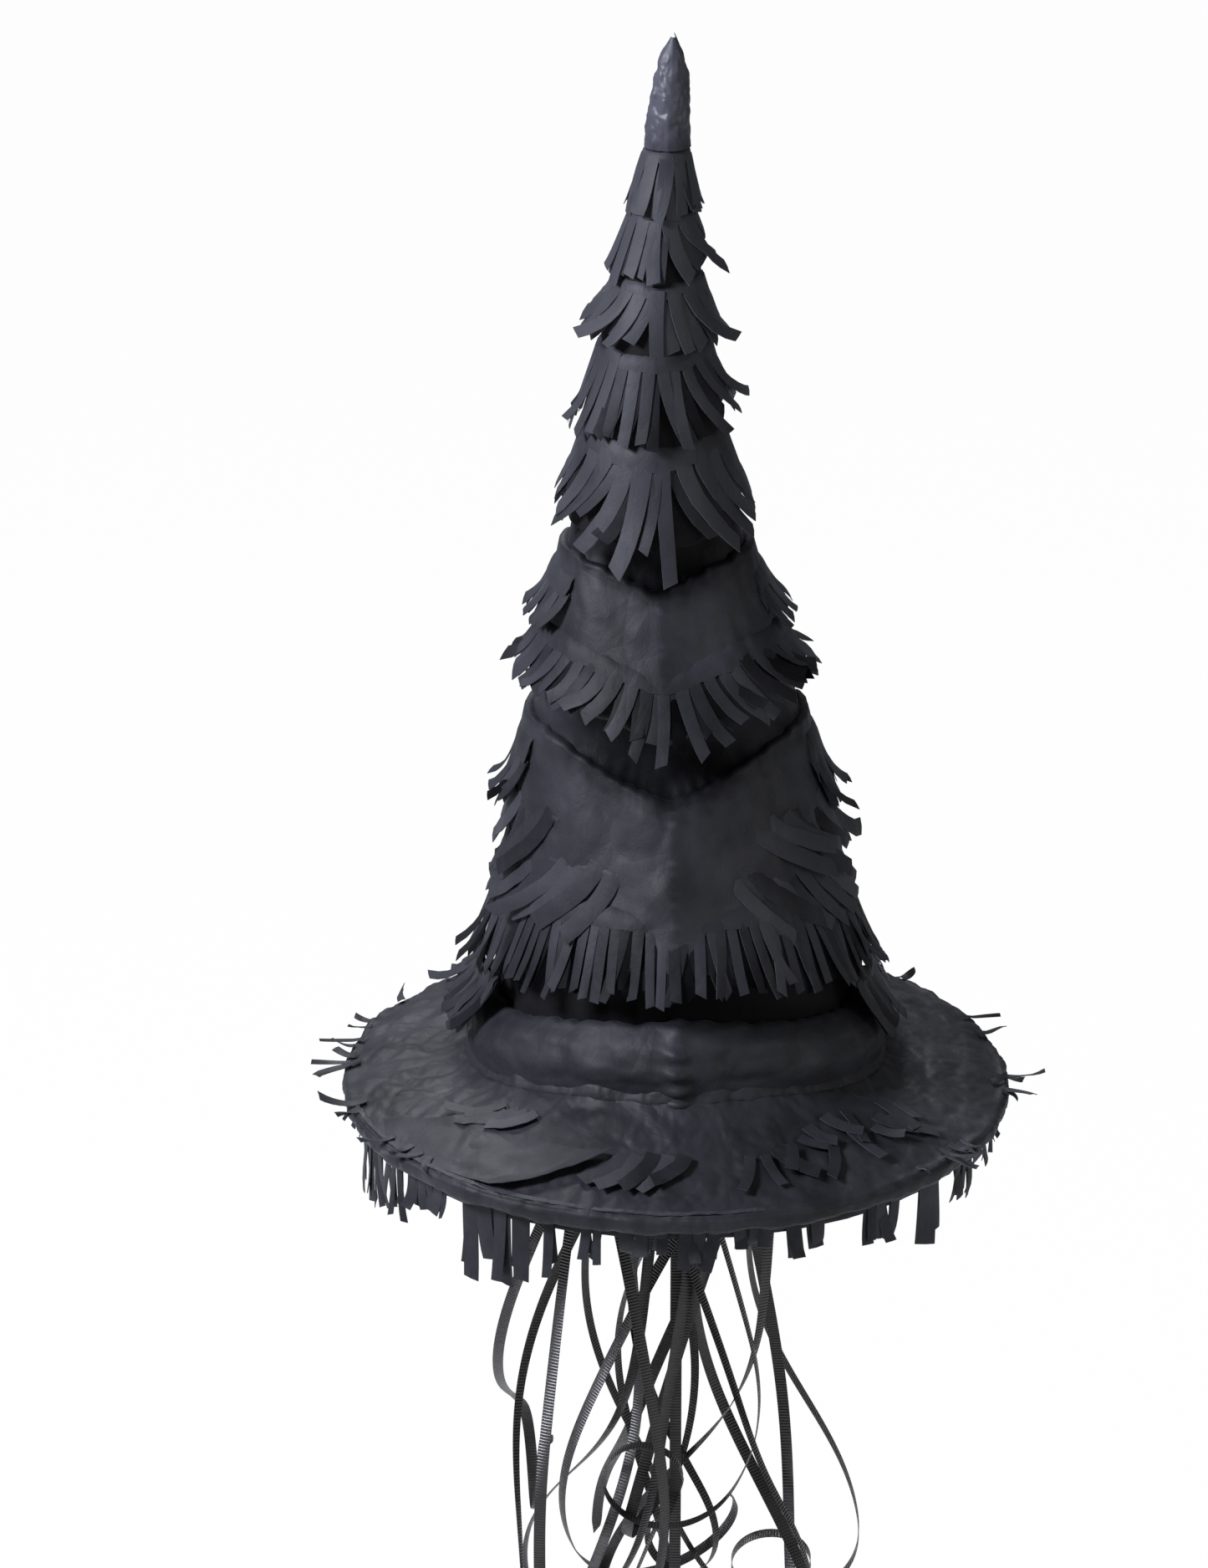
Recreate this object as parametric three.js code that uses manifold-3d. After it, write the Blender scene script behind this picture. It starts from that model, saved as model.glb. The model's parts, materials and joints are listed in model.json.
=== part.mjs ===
// A pull-ribbon paper hat: a tall pointed witch hat of glued card, covered with black tissue and rows of
// cut paper fringe. It hangs from a cord at its tip and is filled with sweets through a flap in its back.
// A row of ribbons hangs from the free edge of a trap door in its base, and one of them opens the door.
// Millimetres, +Z up, and the front is -Y. The pieces are drawn from the centre of the underside of the base
// board, and the last step lifts the whole hat, so that the part's origin is level with its ribbons' ends.
import * as THREE from "three";
import { mergeVertices } from "three/addons/utils/BufferGeometryUtils.js";
import Module from "manifold-3d";

const wasm = await Module();
wasm.setup();

// ---- Driving dimensions ----
const BOARD = 3; // corrugated board of the base and the trap door
const CARD = 2.5; // bent card of the crown
const NECK_CARD = 2; // thinner card of the recessed necks
const NECK_INSET = 2 * CARD + 0.8; // from the crown's outside to the inside of a neck
const TISSUE = 0.8; // glued tissue, with its wrinkles
const FRINGE = 1; // one row of cut paper
const GAP = 0.4; // glue line between two layers
const SKIN_GAP = 0.8; // under the tissue, which is only glued here and there
const SEGMENTS = 36; // facets round the hat

const BASE_R = 155;
const UNDER_TISSUE_R = 149;
const BRIM_R = 158;
const BRIM_INNER = { r: 84, z: 35 };
const BRIM_EDGE_Z = 5.5;
const BRIM_TISSUE_INNER = 99.5;
const RIM_LOW = 0.5; // the brim's tissue is folded down round the rim to here
const EDGE_HALF = 0.8; // the loose fringe at each side of the brim reaches this far round, in radians
const SKIRT = { r: 150.4, low: -34, thick: 1.2 }; // fringe that hangs under the rim
const CROWN = [ // outside of the card crown, as [radius, height]
  [90, 30], [84, 95], [60, 200], [39.5, 285], [14.2, 431], [7, 474],
];
const TIP_Z = 515;

const FOOT_R = 79; // the crown's foot on the base board, inside its thickness
const FOOT_Z = BOARD + GAP;

const LEAN = { most: -12, at: 330, spread: 165 }; // sideways bend of the crown
const SADDLE = { rise: 9, full: 30, fadeFrom: 100, fadeTo: 185 }; // front and back stand higher than sides
const CREASE = { depth: 0.05, halfAngle: 0.42 }; // the fold line down the front
const FACING = 1.36; // a front fold fades out at this angle from the front, in radians
const SIDE = { from: 1.25, to: 1.9, level: 2.6 }; // hems are highest between two angles, and level again behind

// Each crown section runs from its top to its hem. Its front is pushed in at the top and out at the hem, and
// it stands higher at its sides than in front and behind, by dipTop at its top and dipHem at its hem.
const UPPER = { top: 474, hem: 286, frontTop: 0, frontHem: 3, dipTop: 0, dipHem: 4 };
const MIDDLE = { top: 268, hem: 203, frontTop: -8, frontHem: 5, dipTop: 8, dipHem: 14 };
const LOWER = { top: 178, hem: 92, frontTop: -11, frontHem: 5, dipTop: 16, dipHem: 2 };

const DOOR = { x: 106, y: 102, gap: 1 };
const SEAL = { halfLength: 50, width: 9 }; // paper tapes at the door's back and front edges
const LEDGE = { width: 14, halfLength: 46 }; // strips over the door's sides, which stop it going up
const HATCH = { halfWidth: 30, low: 118, high: 166, gap: 0.8, room: 4 };

const HEADER = { y: -52.5, z: -5.8, r: 1.5, length: 104, tapeZ: -2.4, sleeve: 2.6 };
const RIBBON = { width: 5, thick: 0.6, pairs: 10, pitch: 9.6, shift: 2.4, low: -330, loopR: HEADER.r + 0.5 };
const ANCHOR = { y: 6, z: 312, r: 3 }; // bar across the inside of the upper crown
const LOOP = { y: 9.4, z: 498, r: 0.9 }; // knot of the hanging loop, just behind the tip

// ---- Colours ----
const paper = new THREE.MeshStandardMaterial({ color: 0x33343b, roughness: 0.85, metalness: 0 });
const smoothPaper = new THREE.MeshStandardMaterial({ color: 0x3a3b44, roughness: 0.75, metalness: 0 });
const card = new THREE.MeshStandardMaterial({ color: 0x9a7750, roughness: 0.9, metalness: 0 });
const satin = new THREE.MeshStandardMaterial({ color: 0x2b2b2b, roughness: 0.35, metalness: 0 });
const cord = new THREE.MeshStandardMaterial({ color: 0x222224, roughness: 0.8, metalness: 0 });
const wood = new THREE.MeshStandardMaterial({ color: 0xc8a36a, roughness: 0.7, metalness: 0 });

// ---- Small helpers ----
const clamp01 = (t) => Math.min(1, Math.max(0, t));
const lerp = (a, b, t) => a + (b - a) * t;
const smooth = (t) => clamp01(t) ** 2 * (3 - 2 * clamp01(t));

function solid(geometry) {
  const plain = geometry.clone();
  plain.deleteAttribute("normal");
  plain.deleteAttribute("uv");
  const merged = mergeVertices(plain, 1e-3);
  const mesh = { numProp: 3, vertProperties: merged.attributes.position.array };
  return new wasm.Manifold(new wasm.Mesh({ ...mesh, triVerts: new Uint32Array(merged.index.array) }));
}

function geometryOf(body) {
  const mesh = body.getMesh();
  const made = new THREE.BufferGeometry();
  made.setAttribute("position", new THREE.BufferAttribute(mesh.vertProperties, 3));
  made.setIndex(new THREE.BufferAttribute(mesh.triVerts, 1));
  return made;
}

const cut = (body, ...tools) => geometryOf(tools.reduce((a, t) => a.subtract(solid(t)), solid(body)));
const keep = (body, tool) => geometryOf(solid(body).intersect(solid(tool)));
const join = (...bodies) => geometryOf(bodies.map(solid).reduce((a, b) => a.add(b)));

// A box between two corners.
function block(low, high) {
  const size = high.map((v, i) => v - low[i]);
  const middle = high.map((v, i) => (v + low[i]) / 2);
  return new THREE.BoxGeometry(...size).translate(...middle);
}

// Height is measured along the hat, so the crown's radius comes from its outline.
function crownRadius(z) {
  if (z <= CROWN[0][1]) return CROWN[0][0];
  for (let i = 1; i < CROWN.length; i++) {
    const [r0, z0] = CROWN[i - 1];
    const [r1, z1] = CROWN[i];
    if (z <= z1) return lerp(r0, r1, (z - z0) / (z1 - z0));
  }
  return CROWN.at(-1)[0] * clamp01((TIP_Z - z) / (TIP_Z - UPPER.top));
}

const leanAt = (z) => LEAN.most * Math.exp(-(((z - LEAN.at) / LEAN.spread) ** 2)) * smooth(z / 90);

// How much a direction faces a side of the hat: 0 at the front and at the back, 1 at the sides.
function sideways(angle) {
  const turn = Math.abs(angle);
  const rising = Math.sin((Math.min(turn, SIDE.from) / SIDE.from) * (Math.PI / 2));
  return rising * (1 - smooth((turn - SIDE.to) / (SIDE.level - SIDE.to)));
}

const facing = (angle) => (Math.abs(angle) < FACING ? Math.cos((angle / FACING) * (Math.PI / 2)) ** 2 : 0);

function saddleAt(r, z, angle) {
  const aboveBase = smooth((z - 4) / (SADDLE.full - 4));
  const belowFolds = 1 - smooth((z - SADDLE.fadeFrom) / (SADDLE.fadeTo - SADDLE.fadeFrom));
  const insideRim = 1 - smooth((r - 97) / (BRIM_R - 97));
  return SADDLE.rise * Math.cos(2 * angle) * aboveBase * belowFolds * insideRim;
}

const downSection = (section, z) => (section.top - z) / (section.top - section.hem);

// How far a section's front stands out at a height, before it fades towards the sides.
function frontOffset(section, z) {
  const t = downSection(section, z);
  if (!section.recessed) return lerp(section.frontTop, section.frontHem, Math.min(t, 1.15));
  return section.frontHem * smooth(t * 2.5) * smooth((z - FOOT_Z) / 40);
}

// How much higher a section is at some place than at its front.
function riseOf(section, z, angle) {
  if (section.recessed) return 0;
  return lerp(section.dipTop, section.dipHem, downSection(section, z)) * sideways(angle);
}

// Bends a round piece into the hat's own shape: its front folds, its crease, its saddle and its lean.
function settle(geometry, section) {
  const place = geometry.attributes.position;
  for (let i = 0; i < place.count; i++) {
    const [x, y, z] = [place.getX(i), place.getY(i), place.getZ(i)];
    const angle = Math.atan2(x, -y);
    let r = Math.hypot(x, y);
    const inCrown = (1 - smooth((r - 98) / 20)) * smooth((z - 4) / 30);
    r *= 1 + CREASE.depth * clamp01(1 - Math.abs(angle) / CREASE.halfAngle) * inCrown;
    let up = saddleAt(r, z, angle);
    if (section) {
      r += frontOffset(section, z) * facing(angle);
      up += riseOf(section, z, angle);
    }
    place.setXYZ(i, r * Math.sin(angle) + leanAt(z), -r * Math.cos(angle), z + up);
  }
  return geometry;
}

// A closed outline of [radius, height] points turned round the hat's axis.
function turned(outline, segments = SEGMENTS) {
  const area = outline.reduce((sum, [r, z], i) => {
    const [r1, z1] = outline[(i + 1) % outline.length];
    return sum + r * z1 - r1 * z;
  }, 0);
  const ordered = area > 0 ? outline : [...outline].reverse();
  const open = outline[0][0] === 0 && outline.at(-1)[0] === 0;
  const points = (open ? ordered : [...ordered, ordered[0]]).map(([r, z]) => new THREE.Vector2(r, z));
  return new THREE.LatheGeometry(points, segments).rotateX(Math.PI / 2);
}

// A sheet of some thickness that follows a line of [radius, height] points, grown outwards.
function sheet(line, thick) {
  return turned([...line, ...[...line].reverse().map(([r, z]) => [r + thick, z])]);
}

// Evenly spaced heights from the hem to the top.
function rings(hem, top, most = 28) {
  const spans = Math.ceil((top - hem) / most);
  return Array.from({ length: spans + 1 }, (_, i) => lerp(hem, top, i / spans));
}

// A crown section: a card wall between two heights.
const wall = (section) => layer(section, section.top, section.hem, -CARD, -CARD, CARD);

// A layer that lies on a section, between two heights, standing off by different amounts at its two edges.
function layer(section, top, hem, offTop, offHem, thick) {
  const line = rings(hem, top).map((z) => {
    const off = lerp(offTop, offHem, (top - z) / (top - hem));
    return [crownRadius(z) + off, z];
  });
  return settle(sheet(line, thick), section);
}

// A tall wedge with its edge on the axis, opening to an angle either side of a direction from the front.
function wedge(middle, half, low = -60, high = 560) {
  const reach = 400;
  const corner = (angle) => [reach * Math.sin(angle), -reach * Math.cos(angle)];
  const outline = new THREE.Shape([
    new THREE.Vector2(0, 0),
    new THREE.Vector2(...corner(middle - half)),
    new THREE.Vector2(...corner(middle)),
    new THREE.Vector2(...corner(middle + half)),
  ]);
  return new THREE.ExtrudeGeometry(outline, { depth: high - low, bevelEnabled: false }).translate(0, 0, low);
}

// A round or flat bar swept along a smooth line of [x, y, z] points.
function swept(points, outline, steps) {
  const path = new THREE.CatmullRomCurve3(points.map((p) => new THREE.Vector3(...p)), false, "centripetal");
  return new THREE.ExtrudeGeometry(outline, { steps, bevelEnabled: false, extrudePath: path });
}

function roundOutline(radius, sides = 8) {
  const corners = Array.from({ length: sides }, (_, i) => (i / sides) * 2 * Math.PI);
  return new THREE.Shape(corners.map((a) => new THREE.Vector2(radius * Math.cos(a), radius * Math.sin(a))));
}

const hat = new THREE.Group();

function add(name, geometry, material, parent = hat) {
  const mesh = new THREE.Mesh(geometry, material);
  mesh.name = name;
  parent.add(mesh);
}

// ---- Base, brim and collar ----
const openingX = DOOR.x / 2 + DOOR.gap;
const openingY = DOOR.y / 2 + DOOR.gap;
const opening = block([-openingX, -openingY, -20], [openingX, openingY, 20]);

// A layer of tissue on the underside of a board, from a flat outline of the same thickness everywhere.
const underDisc = (r) => turned([[0, -GAP - TISSUE], [r, -GAP - TISSUE], [r, -GAP], [0, -GAP]]);
const underStrip = (x, yLow, yHigh) => block([-x, yLow, -GAP - TISSUE], [x, yHigh, -GAP]);

function buildBase() {
  add("base_board", cut(turned([[0, 0], [BASE_R, 0], [BASE_R, BOARD], [0, BOARD]]), opening), card);

  // The tapes lie in gaps of the tissue, one behind the door and one in front of it.
  const [near, far] = [openingY + GAP, openingY + GAP + SEAL.width];
  const room = block([-SEAL.halfLength - GAP, -far - GAP, -20], [SEAL.halfLength + GAP, far + GAP, 20]);
  add("brim_under_tissue", cut(underDisc(UNDER_TISSUE_R), opening, room), paper);
  add("door_hinge_tape", underStrip(SEAL.halfLength, near, far), smoothPaper);
  add("door_seal_tape", underStrip(SEAL.halfLength, -far, -near), smoothPaper);

  const [low, high] = [BOARD + GAP, BOARD + GAP + CARD];
  for (const [side, x] of [["left", -openingX], ["right", openingX]]) {
    const half = LEDGE.width / 2;
    const strip = block([x - half, -LEDGE.halfLength, low], [x + half, LEDGE.halfLength, high]);
    add(`door_ledge_${side}`, strip, card);
  }
}

const brimTop = (r) => lerp(BRIM_INNER.z, BRIM_EDGE_Z, (r - BRIM_INNER.r) / (BRIM_R - BRIM_INNER.r));
const BRIM_RINGS = [98, 113, 128, 143];

// A line of [radius, height] points that follows the brim's upper side, standing off it by some amount.
function alongBrim(rIn, rOut, offIn, offOut = offIn) {
  const radii = [rIn, ...BRIM_RINGS.filter((r) => r > rIn + 1 && r < rOut - 1), rOut];
  return radii.map((r) => [r, brimTop(r) + lerp(offIn, offOut, (r - rIn) / (rOut - rIn))]);
}

function buildBrim() {
  const underSide = alongBrim(BRIM_INNER.r, BRIM_R - 1, -2.6, -2).reverse();
  const board = turned([...alongBrim(BRIM_INNER.r, BRIM_R, 0), ...underSide]);
  add("brim_board", settle(board), card);

  // The tissue runs out over the board and down round its rim.
  const rim = [BRIM_R + GAP, BRIM_R + GAP + TISSUE];
  const below = alongBrim(BRIM_TISSUE_INNER, rim[0], SKIN_GAP);
  const above = alongBrim(BRIM_TISSUE_INNER, rim[1], SKIN_GAP + TISSUE).reverse();
  add("brim_top_tissue", settle(turned([...below, [rim[0], RIM_LOW], [rim[1], RIM_LOW], ...above])), paper);

  const outer = [[97, 31], [97.6, 44], [94, 54], [86, 61]];
  const inner = [[84, 58.6], [92, 51.8], [95, 43.6], [94.5, 31]];
  add("crown_collar", settle(turned([...outer, ...inner])), card);
  const skinOut = [[98.8, 31.6], [99.4, 44.4], [95.4, 55.4], [86.6, 62.8]];
  const skinIn = [[86.4, 61.6], [94.7, 54.5], [98.2, 44.2], [97.8, 31.6]];
  add("collar_tissue", settle(turned([...skinOut, ...skinIn])), paper);
}

// ---- Crown ----
// Three recessed necks make the dark folds, and each is glued inside the sections above and below it.
const NECKS = {
  crown_neck_upper: { top: 300, hem: 256, frontHem: -13, recessed: true },
  crown_neck_middle: { top: 228, hem: 166, frontHem: -18, recessed: true },
  crown_neck_lower: { top: 116, hem: 46, frontHem: -12, recessed: true },
};

// Boxes through the back of the crown: the hatch's own hole, the hatch in it, and its room in the fringe.
function hatchBox(side, below, above) {
  const x = HATCH.halfWidth + side;
  return block([-x, 0, HATCH.low - below], [x, 200, HATCH.high + above]);
}
const hatchHole = hatchBox(0, 0, 0);
const hatchFill = hatchBox(-HATCH.gap, -HATCH.gap, -HATCH.gap);
const hatchRoom = hatchBox(HATCH.room, HATCH.room + 2, 0.1);

const crownSkin = (section) => layer(section, section.top, section.hem, SKIN_GAP, SKIN_GAP, TISSUE);

function buildNeck(name, neck) {
  const line = rings(neck.hem, neck.top, 14).map((z) => [crownRadius(z) - NECK_INSET, z]);
  if (name === "crown_neck_lower") {
    // The lowest neck runs on down as a straight foot that stands on the base board.
    line.unshift([FOOT_R, FOOT_Z], [FOOT_R + 1, 24]);
  }
  add(name, settle(sheet(line, NECK_CARD), neck), card);
}

function buildCrown() {
  Object.entries(NECKS).forEach(([name, neck]) => buildNeck(name, neck));
  add("upper_crown", wall(UPPER), card);
  add("middle_crown", wall(MIDDLE), card);
  add("lower_crown", cut(wall(LOWER), hatchHole), card);

  add("middle_crown_tissue", crownSkin(MIDDLE), paper);
  add("lower_crown_tissue", cut(crownSkin(LOWER), hatchHole), paper);

  const tipOutside = [[0, TIP_Z], [5, 503], [8.6, 486], [10.4, 466]];
  const tipInside = [[9.3, 466], [7.6, 481], [4, 500], [0, 507]];
  add("tip_wrap", settle(turned([...tipOutside, ...tipInside], 18)), smoothPaper);
}

// ---- Fringe ----
// Rows of cut paper, each glued along its top and free at its hem, laid like shingles.
const ROWS = [
  { on: UPPER, top: 464, hem: 431, flare: 2.4 },
  { on: UPPER, top: 436, hem: 401, flare: 3 },
  { on: UPPER, top: 406, hem: 370, flare: 4 },
  { on: UPPER, top: 375, hem: 328, flare: 3.6 },
  { on: UPPER, top: 335, hem: 282, flare: 4.6 },
  { on: MIDDLE, top: 262, hem: 226, flare: 4, openFront: 1.05 },
  { on: MIDDLE, top: 235, hem: 196, flare: 4.2 },
  { on: LOWER, top: 176, hem: 139, flare: 4, openFront: 1.2 },
  { on: LOWER, top: 148, hem: 108, flare: 4.2, openFront: 0.95 },
  { on: LOWER, top: 120, hem: 78, flare: 4.4 },
];
const HATCH_ROWS = [8, 9, 10]; // counted from the top, from 1
const SPLIT_ROW = 9;

function rowGeometry(row, onTissue) {
  const rise = onTissue ? SKIN_GAP + TISSUE : 0;
  const ring = layer(row.on, row.top, row.hem, rise + GAP, rise + row.flare, FRINGE);
  return row.openFront ? cut(ring, wedge(0, row.openFront)) : ring;
}

// A row that is open both at the front and at the hatch is made as a left and a right half.
function buildRow(row, number) {
  const name = `crown_fringe_${String(number).padStart(2, "0")}`;
  const ring = rowGeometry(row, row.on !== UPPER);
  if (number !== SPLIT_ROW) {
    add(name, HATCH_ROWS.includes(number) ? cut(ring, hatchRoom) : ring, paper);
    return;
  }
  const side = (angle) => keep(cut(ring, hatchRoom), wedge(angle, Math.PI / 2 - 0.01));
  add(`${name}_left`, side(-Math.PI / 2), paper);
  add(`${name}_right`, side(Math.PI / 2), paper);
}

function buildFringe() {
  ROWS.forEach((row, i) => buildRow(row, i + 1));

  // The lowest row hangs from under the crown's hem, over the collar, round the back and the sides.
  const overCollar = settle(sheet([[102.4, 40], [99.8, 58], [94.2, 74], [93.2, 80]], FRINGE));
  add("crown_fringe_11", cut(overCollar, wedge(0, 1.12)), paper);
}

// A patch of cut paper lying on the brim: part of a sloped ring between two radii.
function brimPatch(rIn, rOut, middle, half) {
  const offIn = SKIN_GAP + TISSUE + GAP;
  const offOut = offIn + 2;
  const low = alongBrim(rIn, rOut, offIn, offOut);
  const high = alongBrim(rIn, rOut, offIn + FRINGE, offOut + FRINGE).reverse();
  return keep(settle(turned([...low, ...high])), wedge(middle, half));
}

function buildBrimFringe() {
  add("brim_fringe_left", brimPatch(104, 142, -0.62, 0.3), paper);
  add("brim_fringe_front", brimPatch(116, 150, -0.06, 0.22), paper);
  add("brim_fringe_right", brimPatch(108, 152, 0.62, 0.42), paper);

  // Loose ends stick out past the brim's edge at both sides.
  const edge = settle(turned([[150, 11], [159, 7.8], [166, 7.6], [166, 8.6], [159, 8.8], [150, 12]]));
  add("brim_edge_fringe_left", keep(edge, wedge(-Math.PI / 2, EDGE_HALF)), paper);
  add("brim_edge_fringe_right", keep(edge, wedge(Math.PI / 2, EDGE_HALF)), paper);

  // A skirt of strips hangs from the underside of the base, all the way round.
  add("brim_skirt_fringe", sheet([[SKIRT.r, SKIRT.low], [SKIRT.r, -GAP]], SKIRT.thick), paper);
}

// ---- Fill hatch in the back of the crown ----
function buildHatch() {
  const hatch = new THREE.Group();
  add("fill_hatch", keep(wall(LOWER), hatchFill), card, hatch);
  add("fill_hatch_tissue", keep(crownSkin(LOWER), hatchFill), paper, hatch);
  const row = { ...ROWS[8], openFront: 0, top: 160, hem: 126 };
  add("fill_hatch_fringe", keep(rowGeometry(row, true), hatchFill), paper, hatch);
  hat.add(hatch);
}

// ---- Trap door and its ribbons ----
const headerTapeTop = HEADER.tapeZ + TISSUE;

// A short sleeve round the header cord.
function ringRoundHeader(x, width, inner) {
  const [outer, half] = [inner + TISSUE, width / 2];
  return turned([[inner, -half], [outer, -half], [outer, half], [inner, half]], 10)
    .rotateY(Math.PI / 2)
    .translate(x, HEADER.y, HEADER.z);
}

function buildDoor() {
  const [x, y] = [DOOR.x / 2, DOOR.y / 2];
  add("trap_door", block([-x, -y, 0], [x, y, BOARD]), card);
  add("trap_door_tissue", block([-x, -y, -GAP - TISSUE], [x, y, -GAP]), paper);

  // The header tape ends in two sleeves that carry the cord.
  const end = HEADER.length / 2 - 0.2;
  const tape = block([-end, -y + 1, HEADER.tapeZ], [end, -y + 12, headerTapeTop]);
  const sleeves = [-end, end - HEADER.sleeve].map((left) => {
    const strapLow = HEADER.z + HEADER.r + 0.6;
    const strap = block([left, HEADER.y, strapLow], [left + HEADER.sleeve, -y + 2, headerTapeTop]);
    return join(ringRoundHeader(left + HEADER.sleeve / 2, HEADER.sleeve, HEADER.r + GAP), strap);
  });
  add("ribbon_header_tape", join(tape, ...sleeves), smoothPaper);
  const bar = new THREE.CylinderGeometry(HEADER.r, HEADER.r, HEADER.length, 12).rotateZ(Math.PI / 2);
  add("ribbon_header_cord", bar.translate(0, HEADER.y, HEADER.z), cord);
}

// A flat strip that hangs from the header at x. It drops straight, then drifts to its own end point.
function tail(x, side, end, sway) {
  const start = [x, HEADER.y + side * 0.5, HEADER.z - RIBBON.loopR - 0.3];
  const between = (across, back, down) => [
    lerp(start[0], end[0], across), lerp(start[1], end[1], back), lerp(start[2], end[2], down),
  ];
  const [upper, lower] = [between(0.22, 0.35, 0.3), between(0.55, 0.75, 0.62)];
  upper[0] += sway;
  lower[0] -= sway;
  const straight = [x, start[1] + side * 2, start[2] - 16];
  const [w, t] = [RIBBON.width / 2, RIBBON.thick / 2];
  const outline = new THREE.Shape([[-w, -t], [w, -t], [w, t], [-w, t]].map((p) => new THREE.Vector2(...p)));
  return swept([start, straight, upper, lower, end], outline, 16);
}

// Each ribbon is looped round the header, so that it has a front and a back tail. Their ends are cut level.
const aboveEnds = block([-BASE_R, -BASE_R, RIBBON.low], [BASE_R, BASE_R, BOARD]);

function buildRibbons() {
  for (let i = 0; i < RIBBON.pairs; i++) {
    const place = i - (RIBBON.pairs - 1) / 2;
    const x = place * RIBBON.pitch + Math.sign(place) * RIBBON.shift;
    const spread = 1 + 0.12 * Math.abs(place);
    const inOut = 4 * (i % 3);
    const sway = i % 2 ? 1 : -1;
    const front = [x * spread, HEADER.y - 26 + inOut, RIBBON.low + 36 * (i % 3)];
    const back = [x * (spread + 0.3), HEADER.y + 30 - inOut, RIBBON.low + 24 * ((i + 1) % 4)];
    const loop = ringRoundHeader(x, RIBBON.width + 0.6, RIBBON.loopR);
    const pair = join(loop, tail(x - 0.4, -1, front, sway), tail(x + 0.4, 1, back, -sway));
    add(`ribbon_${String(i + 1).padStart(2, "0")}`, keep(pair, aboveEnds), satin);
  }
  const release = tail(0, -1, [0, HEADER.y - 8, RIBBON.low], 0.5);
  add("release_ribbon", keep(join(ringRoundHeader(0, 3.6, RIBBON.loopR), release), aboveEnds), satin);
}

// ---- Hanging cord ----
function buildCord() {
  const x = leanAt(ANCHOR.z);
  const reach = crownRadius(ANCHOR.z + ANCHOR.r) - CARD - 2;
  const bar = new THREE.CylinderGeometry(ANCHOR.r, ANCHOR.r, 2 * reach, 12).rotateZ(Math.PI / 2);
  add("anchor_bar", bar.translate(x, ANCHOR.y, ANCHOR.z), wood);

  // Inside, the cord is looped round the bar and runs up the middle to the tip.
  const [eyeIn, eyeOut] = [ANCHOR.r + 0.6, ANCHOR.r + 2.4];
  const eye = turned([[eyeIn, -1], [eyeOut, -1], [eyeOut, 1], [eyeIn, 1]], 12).rotateY(Math.PI / 2);
  const rise = [ANCHOR.z + eyeIn + 1, 350, 400, 450, 496];
  const line = rise.map((z) => [leanAt(z), ANCHOR.y * clamp01((420 - z) / 110), z]);
  add("hanging_cord", join(eye.translate(x, ANCHOR.y, ANCHOR.z), swept(line, roundOutline(1.1), 14)), cord);

  // Outside, the loop lies folded down behind the tip until the hat is hung.
  const knotAt = [leanAt(LOOP.z), LOOP.y, LOOP.z];
  const leg = [[1, 0, 0], [4, 3, -14], [7, 14, -50], [6.4, 23, -88], [4, 26, -98]];
  const aroundLoop = [...leg.map(([dx, dy, dz]) => [-dx, dy, dz]), [0, 26.6, -101], ...leg.toReversed()];
  const loopLine = aroundLoop.map((p) => p.map((v, i) => v + knotAt[i]));
  const knot = new THREE.SphereGeometry(2.3, 10, 8).translate(...knotAt);
  add("hanging_loop", join(knot, swept(loopLine, roundOutline(LOOP.r, 6), 30)), cord);
}

buildBase();
buildBrim();
buildCrown();
buildFringe();
buildBrimFringe();
buildHatch();
buildDoor();
buildRibbons();
buildCord();

hat.position.z = -RIBBON.low;

export default hat;
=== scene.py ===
"""Looks for the pull-ribbon paper hat: crumpled tissue, cut fringe, curling ribbons, cords and card.

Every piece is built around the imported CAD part, in metres, with the front of the hat towards -Y.
Round pieces are read off the CAD surface with rays, then rebuilt as wrinkled sheets or as rows of strips.
"""

import json
import math

import bmesh
import bpy
import numpy as np
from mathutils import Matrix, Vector
from mathutils.bvhtree import BVHTree


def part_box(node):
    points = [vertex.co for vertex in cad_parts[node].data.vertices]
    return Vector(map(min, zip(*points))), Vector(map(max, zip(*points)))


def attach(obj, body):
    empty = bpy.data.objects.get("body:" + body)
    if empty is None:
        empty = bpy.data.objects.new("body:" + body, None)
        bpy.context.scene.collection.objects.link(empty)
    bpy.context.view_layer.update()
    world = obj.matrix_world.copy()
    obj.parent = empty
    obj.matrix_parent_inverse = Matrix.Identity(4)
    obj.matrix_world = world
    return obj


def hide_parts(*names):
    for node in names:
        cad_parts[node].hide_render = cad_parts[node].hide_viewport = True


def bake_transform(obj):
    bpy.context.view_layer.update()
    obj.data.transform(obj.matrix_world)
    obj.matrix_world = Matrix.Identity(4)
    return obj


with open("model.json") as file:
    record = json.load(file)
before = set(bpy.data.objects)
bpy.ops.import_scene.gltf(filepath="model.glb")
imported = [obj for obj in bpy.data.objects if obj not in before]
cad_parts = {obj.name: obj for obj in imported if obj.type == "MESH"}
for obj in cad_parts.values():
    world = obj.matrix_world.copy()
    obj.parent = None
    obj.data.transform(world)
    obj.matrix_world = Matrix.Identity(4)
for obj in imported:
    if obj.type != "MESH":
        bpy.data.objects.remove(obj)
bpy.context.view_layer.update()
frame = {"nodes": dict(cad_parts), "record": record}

# ---- Driving dimensions ----
MM = 0.001
PAPER = 0.35 * MM  # thickness of one strip, which is two or three layers of tissue
SHEET = 0.4 * MM
TURN_STEP = math.radians(1.25)  # how finely round pieces are read off the CAD
LEVEL_STEP = 2 * MM
ROWS = 17  # levels kept down a round piece
FAR = 0.3  # rays start this far out, outside the hat
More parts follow.
